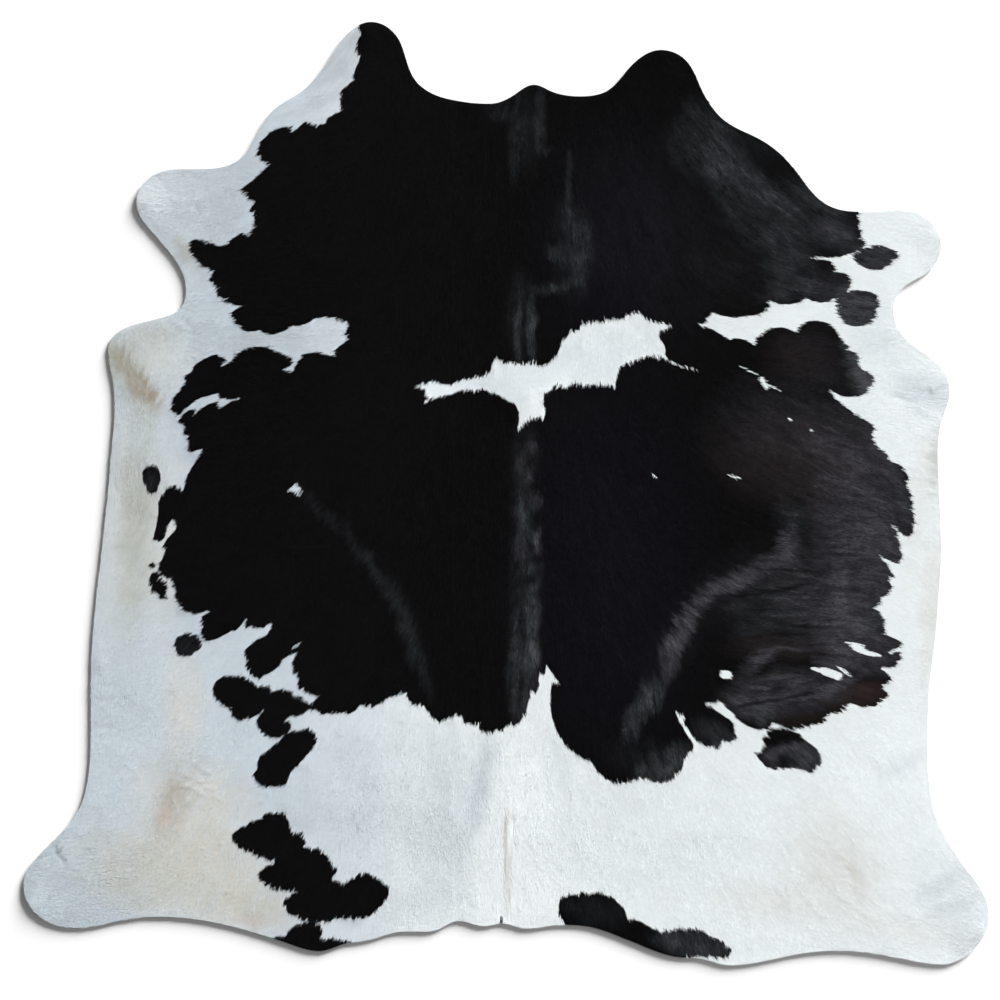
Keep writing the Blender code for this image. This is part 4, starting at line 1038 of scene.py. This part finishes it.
class Patches:
    """The black and white fields, measured from the rings and marks."""

    def __init__(self):
        self.black = [place(arc_ring(MAIN_BLACK))]
        self.black += [place(arc_ring(rows)) for rows in BLACK_SPOTS.values()]
        self.white = [place(arc_ring(WHITE_CROSS))]
        self.marks = [
            (place((x0, y0))[0], place((x1, y1))[0], half * UNIT, sign)
            for sign, rows in ((1, BLACK_MARKS), (-1, WHITE_MARKS))
            for _, x0, y0, x1, y1, half in rows
        ]

    @staticmethod
    def mark_gap(points, start, end, half):
        way = end - start
        t = np.clip(((points - start) @ way) / (way @ way), 0, 1)
        taper = np.sqrt(1 - 0.85 * (2 * t - 1) ** 2) if way @ way > 16 * half**2 else 1.0
        return half * taper - np.linalg.norm(points - start - t[:, None] * way, axis=1)

    def is_black(self, points, slack, plain=None):
        """True where the coat is black; the small marks are tested at plain, with slack."""
        plain = points if plain is None else plain
        black = np.zeros(len(points), bool)
        for ring in self.black:
            black |= within(points, ring)
        for ring in self.white:
            black &= ~within(points, ring)
        for start, end, half, sign in self.marks:
            hit = self.mark_gap(plain, start, end, half) + slack > 0
            black = (black | hit) if sign > 0 else (black & ~hit)
        return black

    def field(self, points, reach=0.020):
        """Signed distance to the patch edges, positive in the black, up to reach."""
        def signed(ring):
            value = np.full(len(points), -reach)
            low, high = ring.min(axis=0) - reach, ring.max(axis=0) + reach
            near = np.nonzero(((points > low) & (points < high)).all(axis=1))[0]
            if len(near):
                gap, _ = nearest(tree_of(even_ring(ring, 0.0008)), points[near])
                value[near] = np.where(within(points[near], ring), 1, -1) * np.minimum(gap, reach)
            return value
        value = np.full(len(points), -reach)
        for ring in self.black:
            value = np.maximum(value, signed(ring))
        for ring in self.white:
            value = np.minimum(value, -signed(ring))
        for start, end, half, sign in self.marks:
            if half > 1.5 * UNIT:       # a finer one shows in the hair alone
                gap = self.mark_gap(points, start, end, half)
                value = np.maximum(value, gap) if sign > 0 else np.minimum(value, -gap)
        return value

    def edge_points(self):
        """Points on the patch edges and a lock's reach to each side, and along the marks."""
        sets = []
        for ring in self.black + self.white:
            even = even_ring(ring, PATCH_SPAN)
            sets += [even, push(even, 0.0036), push(even, -0.0036)]
        for start, end, half, _sign in self.marks:
            if half <= 1.5 * UNIT:
                continue
            way = end - start
            length = float(np.linalg.norm(way))
            way = way / length
            cross = np.array((-way[1], way[0]))
            for k in range(max(2, math.ceil(length / 0.003) + 1)):
                on = start + way * length * k / max(1, math.ceil(length / 0.003))
                sets.append(np.array((on, on + cross * half, on - cross * half)))
            sets.append(np.array((start - way * half, end + way * half)))
        return np.vstack(sets)


# ---------------------------------------------------------------- meshes

def make_mesh(name, points, triangles, smooth=True):
    mesh = bpy.data.meshes.new(name)
    mesh.vertices.add(len(points))
    mesh.vertices.foreach_set("co", np.asarray(points, np.float32).ravel())
    mesh.loops.add(len(triangles) * 3)
    mesh.loops.foreach_set("vertex_index", np.asarray(triangles, np.int32).ravel())
    mesh.polygons.add(len(triangles))
    mesh.polygons.foreach_set("loop_start", np.arange(0, len(triangles) * 3, 3, dtype=np.int32))
    mesh.update(calc_edges=True)
    mesh.polygons.foreach_set("use_smooth", np.full(len(triangles), smooth))
    plan = np.asarray(points, np.float32)[np.asarray(triangles).ravel(), :2]
    layer = mesh.uv_layers.new(name="OFBake")
    side = HIDE_WIDTH + 0.03
    layer.data.foreach_set("uv", (plan / side + 0.5).astype(np.float32).ravel())
    thing = bpy.data.objects.new(name, mesh)
    bpy.context.scene.collection.objects.link(thing)
    return thing


def paint(thing, **fields):
    for name, values in fields.items():
        layer = thing.data.attributes.new(name, "FLOAT", "POINT")
        layer.data.foreach_set("value", np.asarray(values, np.float32))


def lattice(low, high, span):
    row_step = span * math.sqrt(3) / 2
    rows = int(math.ceil((high[1] - low[1]) / row_step)) + 1
    columns = int(math.ceil((high[0] - low[0]) / span)) + 2
    i, j = np.meshgrid(np.arange(columns), np.arange(rows))
    x = low[0] + (i - 0.5 * (j % 2)) * span
    y = low[1] + j * row_step
    return np.stack((x.ravel(), y.ravel()), axis=1)


def fill(ring, inner):
    """Triangles over the ring's inside through the inner points."""
    count = len(ring)
    points = [Vector(p) for p in np.vstack((ring, inner)).tolist()]
    sides = [(i, (i + 1) % count) for i in range(count)]
    spots, _, faces, _, _, _ = delaunay_2d_cdt(points, sides, [], 1, 1e-6)
    return np.array([(v[0], v[1]) for v in spots]), np.array(faces)


def upward(points, triangles):
    """The same triangles, each turned so that it faces up."""
    a, b, c = (points[triangles[:, k]] for k in range(3))
    area = (b[:, 0] - a[:, 0]) * (c[:, 1] - a[:, 1]) - (b[:, 1] - a[:, 1]) * (c[:, 0] - a[:, 0])
    flipped = triangles.copy()
    flipped[area < 0] = triangles[area < 0][:, ::-1]
    return flipped[np.abs(area) > 1e-12]


def thinned(points, cell):
    """At most one point in each small cell."""
    key = np.floor(points / cell).astype(np.int64)
    _, first = np.unique(key[:, 0] * 1000003 + key[:, 1], return_index=True)
    return points[np.sort(first)]


OUTLINE = place(edge_curve(EDGE_ROWS, 1.2, 3.0))
OUTLINE_FINE = even_ring(OUTLINE, 0.0010)
OUTLINE_TREE = tree_of(OUTLINE_FINE)
PATCHES = Patches()


def build_skin():
    """The tanned skin: closed, with a cut edge, flat on the floor but for its folds."""
    rim = even_ring(OUTLINE, 0.0090)
    sole = push(rim, 0.0008)
    field = lattice(OUTLINE.min(axis=0), OUTLINE.max(axis=0), SKIN_SPAN)
    field = field[within(field, push(rim, 0.006))]
    gap, _ = nearest(OUTLINE_TREE, field)
    field = field[gap > 0.010]
    under_xy, under_faces = fill(sole, field)
    over_xy, over_faces = fill(rim, field)
    count = len(rim)
    uneven = 0.00012 * cell_noise(under_xy, 0.030, 11)
    under = np.column_stack((under_xy, floor_gap(under_xy) + np.clip(uneven, 0, None)))
    over = np.column_stack((over_xy, floor_gap(over_xy) + LEATHER * 0.94))
    under[:count, 2] = floor_gap(sole)
    # the cut edge is a wall of two faces round the hide
    faces = [upward(under_xy, under_faces)[:, ::-1], upward(over_xy, over_faces) + len(under)]
    i = np.arange(count)
    j = (i + 1) % count
    faces.append(np.column_stack((i, j, j + len(under))))
    faces.append(np.column_stack((i, j + len(under), i + len(under))))
    thing = make_mesh("hide_skin", np.vstack((under, over)), np.vstack(faces))
    thing.data.set_sharp_from_angle(angle=math.radians(35))
    return thing


def coat_fields(points, way):
    """Every tone of the coat at the points, painted sheen and painted shade among them."""
    across = (points[:, 0] / UNIT) + LAYOUT_MIDDLE[0]
    locks = streaks(points, way, 0.0070, 0.045, 25)
    edges = 1 + 0.18 * cell_noise(points, 0.040, 21) + 0.12 * cell_noise(points, 0.014, 22) + 0.30 * locks
    shift = points + 0.006 * np.column_stack(
        (cell_noise(points, 0.030, 23), cell_noise(points, 0.030, 24))
    ) + way * (0.010 * locks)[:, None]
    tip = np.linalg.norm(points - place((158, 196))[0], axis=1) / 0.085
    # painted shade: the white coat turns bluish and darker towards the left, as if lying further from the
    # light, less so at the left foreleg's tip
    side = np.clip((436 - across) / 150, 0, 1) ** 0.7 * 0.92 * (1 - 0.50 * np.exp(-tip**2))
    mottle = 1 + 0.26 * cell_noise(points, 0.026, 26) + 0.30 * cell_noise(points, 0.011, 27) + 0.26 * locks
    # painted shade: every tone of the coat darkens by up to 14% towards the left
    falloff_shade = 1 - 0.14 * np.clip((989 - across) / 965, 0, 1) ** 0.85
    # the dim rows cut painted shade lines and gaps into the painted sheen
    sheen_kept = 1 - tints(points + way * (0.003 * locks)[:, None], GLEAMS, "dim")
    return {
        "falloff_shade": falloff_shade,
        "cool_shade": np.clip(1 - (1 - side) * (1 - tints(shift, TINTS, "cool_shade") * 0.6), 0, 1),
        "cream": np.clip(tints(shift, TINTS, "cream") * edges, 0, 1),
        "olive": np.clip(tints(shift, TINTS, "olive") * edges, 0, 1),
        "tan": np.clip(tints(shift, TINTS, "tan") * edges, 0, 1),
        "brown": np.clip(tints(shift, TINTS, "brown") * edges, 0, 1),
        "grey": np.clip(tints(shift, TINTS, "grey") * edges, 0, 1),
        "blush": np.clip(tints(shift, TINTS, "blush") * edges, 0, 1),
        # sheen and violet_sheen: painted highlight where the black hair catches the light
        "sheen": np.clip(tints(shift, GLEAMS, "sheen") * mottle * sheen_kept, 0, 1),
        "violet_sheen": np.clip(tints(shift, GLEAMS, "violet_sheen") * (0.45 + 0.55 * mottle) * sheen_kept, 0, 1),
        "navy": np.clip(tints(shift, GLEAMS, "navy") * edges, 0, 1),
        "rust": np.clip(tints(shift, GLEAMS, "rust") * edges, 0, 1),
    }


def build_coat():
    """The coat's sheet: its points lie along the patch edges, so these stay crisp."""
    rim = even_ring(OUTLINE, RIM_SPAN)
    marks = thinned(PATCHES.edge_points(), 0.0016)
    marks = marks[within(marks, push(even_ring(OUTLINE, 0.004), 0.0015))]
    gap, _ = nearest(OUTLINE_TREE, marks)
    marks = marks[gap > 0.0024]
    field = lattice(OUTLINE.min(axis=0), OUTLINE.max(axis=0), COAT_SPAN)
    field = field[within(field, rim)]
    gap, _ = nearest(OUTLINE_TREE, field)
    field = field[gap > 0.0045]
    gap, _ = nearest(tree_of(marks), field)
    field = field[gap > 0.0030]
    flat, faces = fill(rim, np.vstack((marks, field)))
    faces = upward(flat, faces)
    value = PATCHES.field(flat)
    # a face with all its corners on a patch edge gets a point inside it
    on_edge = np.abs(value) < 0.00045
    way = hair_way(flat)
    split = on_edge[faces].all(axis=1)
    middles = flat[faces[split]].mean(axis=1)
    new = len(flat) + np.arange(len(middles))
    a, b, c = faces[split].T
    faces = np.vstack((faces[~split], np.column_stack((a, b, new)),
                       np.column_stack((b, c, new)), np.column_stack((c, a, new))))
    if len(middles):
        flat = np.vstack((flat, middles))
        way = np.vstack((way, hair_way(middles)))
    value = PATCHES.field(flat + way * edge_jag(flat, way)[:, None])

    inward, _ = nearest(OUTLINE_TREE, flat)
    inward[: len(rim)] = 0.0
    height = floor_gap(flat) + LEATHER + coat_depth(inward) + coat_relief(flat) * np.clip(inward / 0.02, 0, 1)
    top = np.column_stack((flat, height))
    # the coat hangs over the cut edge by a hair's breadth
    count = len(rim)
    skirt = push(rim, -0.0004)
    low = np.column_stack((skirt, floor_gap(rim) + LEATHER * 0.35))
    points = np.vstack((top, low))
    i = np.arange(count)
    j = (i + 1) % count
    s = len(top)
    faces = np.vstack((faces, np.column_stack((i, j, s + j)), np.column_stack((i, s + j, s + i))))
    thing = make_mesh("coat_surface", points, faces)
    thing.data.set_sharp_from_angle(angle=math.radians(40))
    both, ways = np.vstack((flat, rim)), np.vstack((way, way[:count]))
    tuft = 0.5 + 0.22 * streaks(both, ways, 0.010, 0.060, 31)
    paint(thing, coat_edge=np.concatenate((value, value[:count])) * 1000.0,
          tuft=np.clip(tuft, 0, 1), **coat_fields(both, ways))
    return thing


def build_hair():
    """Short tufts over the whole coat, each a kite-shaped blade that lies on its neighbours."""
    rng = np.random.default_rng(20)
    roots = lattice(OUTLINE.min(axis=0), OUTLINE.max(axis=0), HAIR_SPACING)
    roots += rng.uniform(-0.5, 0.5, roots.shape) * HAIR_SPACING * 0.95
    roots = roots[within(roots, OUTLINE)]
    # tufts grow denser where the painted sheen lies
    gleam = np.clip((tints(roots, GLEAMS, "sheen") + tints(roots, GLEAMS, "violet_sheen")) * 2.5 - 0.2, 0, 1)
    gleam = HAIR_SHARE["black"] + (HAIR_SHARE["gleam"] - HAIR_SHARE["black"]) * gleam
    share = np.where(PATCHES.is_black(roots, 0.0), gleam, HAIR_SHARE["white"])
    rims = np.vstack((PATCHES.edge_points(), OUTLINE_FINE))
    close = close_to(roots, rims, EDGE_BAND)
    share[close] = HAIR_SHARE["edge"]
    grown = rng.random(len(roots)) < share
    roots, close = roots[grown], close[grown]
    inward, which = nearest(OUTLINE_TREE, roots)
    keep = inward > 0.0008
    roots, inward, which, close = roots[keep], inward[keep], which[keep], close[keep]
    count = len(roots)

    way = hair_way(roots)
    fields = coat_fields(roots, way)
    jag = edge_jag(roots, way)
    clump = streaks(roots, way, 0.012, 0.050, 41)
    sway = 0.16 * cell_noise(roots, 0.060, 42) + 0.20 * cell_noise(roots, 0.016, 43) \
        + 0.12 * rng.standard_normal(count)
    cos, sin = np.cos(sway), np.sin(sway)
    way = np.column_stack((way[:, 0] * cos - way[:, 1] * sin, way[:, 0] * sin + way[:, 1] * cos))
    cross = np.column_stack((-way[:, 1], way[:, 0]))

    length = rng.uniform(*HAIR_LENGTH, count)
    width = rng.uniform(*HAIR_WIDTH, count) * np.where(close, 0.80, 1.0)
    # near the cut edge a tuft ends within a hair's breadth of it
    outward = (OUTLINE_FINE[which] - roots) / np.maximum(inward, 1e-6)[:, None]
    leaving = (way * outward).sum(axis=1)
    room = np.where(leaving > 0.05, (inward + 0.0012) / np.maximum(leaving, 0.05), 1.0)
    length = np.minimum(length, np.maximum(room, 0.0035))

    mid = roots + way * (length * 0.42)[:, None]
    tip = roots + way * length[:, None]
    bend = 0.05 * rng.standard_normal(count) * length
    tip = tip + cross * bend[:, None]
    in_mid = np.clip(inward - leaving * length * 0.42, 0, None)
    in_tip = np.clip(inward - leaving * length, 0, None)

    def ground(p, inner):
        return floor_gap(p) + LEATHER + coat_depth(inner) + coat_relief(p) * np.clip(inner / 0.02, 0, 1)

    lift = 0.00025 + 0.00014 * np.clip(0.5 + clump, 0, 1.4)
    z_root = ground(roots, inward) + 0.00008
    z_mid = ground(mid, in_mid) + lift * (0.8 + 0.5 * rng.random(count))
    z_tip = ground(tip, in_tip) + lift * (0.9 + 0.8 * rng.random(count))
    past = np.clip(leaving * length - inward, 0, None)
    z_tip -= past * 0.15
    roll = rng.uniform(-0.04, 0.04, count) * width * 0.5

    points = np.empty((count, 4, 3))
    points[:, 0] = np.column_stack((roots, z_root))
    points[:, 1] = np.column_stack((mid + cross * (width / 2)[:, None], z_mid + roll))
    points[:, 2] = np.column_stack((mid - cross * (width / 2)[:, None], z_mid - roll))
    points[:, 3] = np.column_stack((tip, z_tip))

    slack = 0.0003 * rng.standard_normal(count)
    fray = roots + way * (length * 0.45 + jag + 0.0016 * rng.standard_normal(count))[:, None]
    fray += 0.0006 * rng.standard_normal((count, 2))
    black = PATCHES.is_black(fray, slack, roots + way * (length * 0.45)[:, None])
    fine = streaks(roots, way, 0.004, 0.030, 44)
    fields["tuft"] = np.clip(
        0.5 + 0.17 * clump + 0.16 * fine + 0.13 * rng.standard_normal(count), 0, 1
    )
    # each tuft's share of the painted sheen varies
    strand = np.clip(1 + 0.30 * fine + 0.22 * rng.standard_normal(count), 0.1, 2.2)
    fields["sheen"], fields["violet_sheen"] = fields["sheen"] * strand, fields["violet_sheen"] * (0.4 + 0.6 * strand)
    things = []
    for colour, chosen in (("white", ~black), ("black", black)):
        which = np.nonzero(chosen)[0]
        parts = max(1, math.ceil(len(which) / TUFTS_A_PIECE))
        which = which[np.argsort(roots[which, 0], kind="stable")]
        for n, part in enumerate(np.array_split(which, parts)):
            base = (np.arange(len(part)) * 4)[:, None]
            faces = np.vstack((base + (0, 2, 1), base + (1, 2, 3)))
            thing = make_mesh(f"hair_{colour}_{n + 1}", points[part].reshape(-1, 3), faces)
            paint(thing, **{k: np.repeat(v[part], 4) for k, v in fields.items()})
            things.append((thing, colour))
    return things


# ---------------------------------------------------------------- materials

class Nodes:
    """A small helper over a material's node tree."""

    def __init__(self, name):
        self.material = bpy.data.materials.new(name)
        self.material.use_nodes = True
        self.tree = self.material.node_tree
        self.shader = self.tree.nodes["Principled BSDF"]

    def add(self, kind, **values):
        node = self.tree.nodes.new(kind)
        for key, value in values.items():
            setattr(node, key, value)
        return node

    def link(self, a, b):
        self.tree.links.new(a, b)

    def attribute(self, name):
        return self.add("ShaderNodeAttribute", attribute_name=name).outputs["Fac"]

    def math(self, kind, a, b=0.5, clamp=False):
        node = self.add("ShaderNodeMath", operation=kind, use_clamp=clamp)
        for socket, value in zip(node.inputs, (a, b)):
            if hasattr(value, "is_linked") or hasattr(value, "node"):
                self.link(value, socket)
            else:
                socket.default_value = value
        return node.outputs[0]

    def noise(self, scale, detail=3.0, rough=0.55, stretch=None):
        where = self.add("ShaderNodeTexCoord").outputs["Object"]
        if stretch:
            mapping = self.add("ShaderNodeMapping")
            mapping.inputs["Scale"].default_value = stretch
            self.link(where, mapping.inputs["Vector"])
            where = mapping.outputs["Vector"]
        node = self.add("ShaderNodeTexNoise")
        self.link(where, node.inputs["Vector"])
        node.inputs["Scale"].default_value = scale
        node.inputs["Detail"].default_value = detail
        node.inputs["Roughness"].default_value = rough
        return node.outputs["Fac"]

    def span(self, value, low, high, to_low=0.0, to_high=1.0):
        node = self.add("ShaderNodeMapRange")
        self.link(value, node.inputs["Value"])
        for key, number in (("From Min", low), ("From Max", high), ("To Min", to_low), ("To Max", to_high)):
            node.inputs[key].default_value = number
        return node.outputs["Result"]

    def mix(self, share, a, b, kind="MIX"):
        node = self.add("ShaderNodeMix", data_type="RGBA", blend_type=kind)
        for socket, value in ((node.inputs[0], share), (node.inputs[6], a), (node.inputs[7], b)):
            if isinstance(value, (int, float)):
                socket.default_value = value
            elif isinstance(value, tuple):
                socket.default_value = (*value, 1.0)
            else:
                self.link(value, socket)
        return node.outputs[2]

    def shade(self, colour, factor):
        """The colour times a grey factor."""
        node = self.add("ShaderNodeVectorMath", operation="SCALE")
        self.link(colour, node.inputs[0])
        self.link(factor, node.inputs["Scale"])
        return node.outputs[0]


# cool_shade is the bluish-grey colour of the painted shade
WHITE = {
    "base": (0.842, 0.886, 0.898),
    "cool_shade": (0.532, 0.597, 0.653),
    "cream": (0.647, 0.633, 0.574),
    "olive": (0.445, 0.466, 0.419),
    "tan": (0.414, 0.367, 0.300),
    "brown": (0.305, 0.245, 0.165),
    "grey": (0.310, 0.331, 0.347),
    "blush": (0.580, 0.486, 0.435),
}
# sheen and violet_sheen are painted highlight colours in the black coat
BLACK = {
    "base": (0.0030, 0.0029, 0.0033),
    "sheen": (0.0510, 0.0580, 0.0620),
    "violet_sheen": (0.0830, 0.0810, 0.0940),
    "rust": (0.0300, 0.0208, 0.0196),
    "navy": (0.0228, 0.0207, 0.0455),
}


def white_colour(n, contrast):
    # cool_shade mixes in the painted shade
    colour = n.mix(n.attribute("cool_shade"), WHITE["base"], WHITE["cool_shade"])
    for tone in ("cream", "olive", "tan", "brown", "grey", "blush"):
        colour = n.mix(n.attribute(tone), colour, WHITE[tone])
    grain = n.math("ADD", n.span(n.attribute("tuft"), 0, 1, 1 - contrast, 1 + contrast * 0.8),
                   n.span(n.noise(420.0, 2.0), 0.3, 0.7, -0.035, 0.035))
    # falloff_shade multiplies in the painted shade towards the left
    return n.shade(colour, n.math("MULTIPLY", grain, n.attribute("falloff_shade")))


def black_colour(n, contrast):
    # painted sheen: grey-green and violet highlight mixed into the base colour
    sheen = n.math("MULTIPLY", n.attribute("sheen"), n.span(n.attribute("tuft"), 0.05, 0.95, 0.25, 1.6))
    violet_sheen = n.math("MULTIPLY", n.attribute("violet_sheen"), n.span(n.attribute("tuft"), 0.05, 0.95, 0.25, 1.6))
    colour = n.mix(n.attribute("navy"), BLACK["base"], BLACK["navy"])
    colour = n.mix(n.attribute("rust"), colour, BLACK["rust"])
    colour = n.mix(violet_sheen, n.mix(sheen, colour, BLACK["sheen"]), BLACK["violet_sheen"])
    grain = n.math("ADD", n.span(n.attribute("tuft"), 0, 1, 1 - contrast, 1 + contrast),
                   n.span(n.noise(420.0, 2.0), 0.3, 0.7, -0.10, 0.10))
    return n.shade(colour, n.math("MULTIPLY", grain, n.attribute("falloff_shade")))


def finish_coat(n, colour, rough_low, rough_high, strength, specular, sheen):
    n.link(colour, n.shader.inputs["Base Color"])
    rough = n.span(n.noise(160.0, 3.0), 0.3, 0.7, rough_low, rough_high)
    n.link(rough, n.shader.inputs["Roughness"])
    n.shader.inputs["Specular IOR Level"].default_value = specular
    n.shader.inputs["Sheen Weight"].default_value = sheen
    n.shader.inputs["Sheen Roughness"].default_value = 0.45
    bump = n.add("ShaderNodeBump")
    bump.inputs["Strength"].default_value = strength
    bump.inputs["Distance"].default_value = 0.0006
    n.link(n.noise(700.0, 3.0, 0.6), bump.inputs["Height"])
    n.link(bump.outputs["Normal"], n.shader.inputs["Normal"])
    return n.material


def surface_material():
    n = Nodes("coat_undercoat")
    # painted shade: the undercoat's white darkens by up to 9% where it shows between the tufts
    white = n.shade(white_colour(n, 0.05), n.span(n.noise(900.0, 1.0), 0.3, 0.7, 0.91, 1.00))
    black = black_colour(n, 0.25)
    fray = n.span(n.noise(330.0, 3.0, 0.7), 0.25, 0.75, -1.6, 1.6)
    share = n.span(n.math("ADD", n.attribute("coat_edge"), fray), -0.35, 0.35)
    return finish_coat(n, n.mix(share, white, black), 0.70, 0.88, 0.4, 0.03, 0.0)


def white_hair_material():
    n = Nodes("hair_white")
    return finish_coat(n, white_colour(n, 0.055), 0.50, 0.70, 0.25, 0.20, 0.04)


def black_hair_material():
    n = Nodes("hair_black")
    return finish_coat(n, black_colour(n, 0.35), 0.45, 0.62, 0.25, 0.03, 0.0)


def skin_material():
    """Suede on the underside, and the pale cut edge of the leather."""
    n = Nodes("skin_suede")
    patches = n.span(n.noise(9.0, 4.0, 0.6), 0.3, 0.7)
    colour = n.mix(patches, (0.60, 0.545, 0.460), (0.500, 0.455, 0.385))
    veins = n.span(n.noise(34.0, 5.0, 0.7), 0.46, 0.54)
    colour = n.mix(n.math("MULTIPLY", veins, 0.22), colour, (0.40, 0.34, 0.28))
    nap = n.span(n.noise(800.0, 3.0), 0.3, 0.7, 0.86, 1.10)
    n.link(n.shade(colour, nap), n.shader.inputs["Base Color"])
    n.link(n.span(n.noise(120.0, 3.0), 0.3, 0.7, 0.82, 0.95), n.shader.inputs["Roughness"])
    n.shader.inputs["Specular IOR Level"].default_value = 0.2
    n.shader.inputs["Sheen Weight"].default_value = 0.15
    bump = n.add("ShaderNodeBump")
    bump.inputs["Strength"].default_value = 0.6
    bump.inputs["Distance"].default_value = 0.0008
    n.link(n.noise(500.0, 4.0, 0.65), bump.inputs["Height"])
    n.link(bump.outputs["Normal"], n.shader.inputs["Normal"])
    return n.material


# ---------------------------------------------------------------- the set

def build_floor():
    mesh = bpy.data.meshes.new("floor")
    half = 30.0
    mesh.from_pydata([(-half, -half, -0.0003), (half, -half, -0.0003),
                      (half, half, -0.0003), (-half, half, -0.0003)], [], [(0, 1, 2, 3)])
    floor = bpy.data.objects.new("floor", mesh)
    bpy.context.scene.collection.objects.link(floor)
    n = Nodes("floor_pale")
    colour = n.mix(n.noise(3.0, 2.0), (0.80, 0.80, 0.80), (0.82, 0.82, 0.82))
    n.link(colour, n.shader.inputs["Base Color"])
    n.shader.inputs["Roughness"].default_value = 0.9
    n.shader.inputs["Specular IOR Level"].default_value = 0.0
    n.shader.inputs["Emission Color"].default_value = (1.0, 1.0, 1.0, 1.0)
    n.shader.inputs["Emission Strength"].default_value = 0.05
    mesh.materials.append(n.material)


def build_light():
    world = bpy.data.worlds.new("studio")
    bpy.context.scene.world = world
    world.use_nodes = True
    sky = world.node_tree.nodes["Background"]
    sky.inputs["Color"].default_value = (1.0, 1.0, 1.0, 1.0)
    sky.inputs["Strength"].default_value = 0.12

    sun = bpy.data.lights.new("wide_key", "SUN")
    sun.energy = 18.4
    sun.angle = math.radians(30)
    thing = bpy.data.objects.new("wide_key", sun)
    rise, turn = math.radians(10.5), math.radians(52)
    to_light = Vector((math.cos(rise) * math.cos(turn), math.cos(rise) * math.sin(turn), math.sin(rise)))
    thing.rotation_euler = (-to_light).to_track_quat("-Z", "Y").to_euler()
    thing.location = to_light * 5
    bpy.context.scene.collection.objects.link(thing)

    soft = bpy.data.lights.new("side_softbox", "AREA")
    soft.shape = "RECTANGLE"
    soft.size, soft.size_y = 2.2, 2.2
    soft.energy = 20.0
    thing = bpy.data.objects.new("side_softbox", soft)
    thing.location = (2.65, 0.20, 2.7)
    thing.rotation_euler = (Vector((0.2, 0.1, 0)) - thing.location).to_track_quat("-Z", "Y").to_euler()
    bpy.context.scene.collection.objects.link(thing)


def build_camera():
    camera = bpy.data.cameras.new("camera")
    camera.sensor_width = 36.0
    height = 8.0
    camera.lens = 36.0 * (height - 0.005) / (1000.0 * UNIT)
    camera.clip_end = 100.0
    thing = bpy.data.objects.new("camera", camera)
    spot = place((500.0, 500.0))[0]
    thing.location = (float(spot[0]), float(spot[1]), height)
    bpy.context.scene.collection.objects.link(thing)
    bpy.context.scene.camera = thing


skin = build_skin()
skin.data.materials.append(skin_material())
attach(skin, "root")
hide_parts("hide")

coat = build_coat()
coat.data.materials.append(surface_material())
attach(coat, "root")

tufts = build_hair()
looks = {"white": white_hair_material(), "black": black_hair_material()}
for thing, colour in tufts:
    thing.data.materials.append(looks[colour])
    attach(thing, "root")

build_floor()
build_light()
build_camera()
bpy.context.scene.view_settings.view_transform = "Standard"
bpy.context.view_layer.update()

for thing in (skin, coat, *[t for t, _ in tufts]):
    print("piece", thing.name, len(thing.data.polygons))
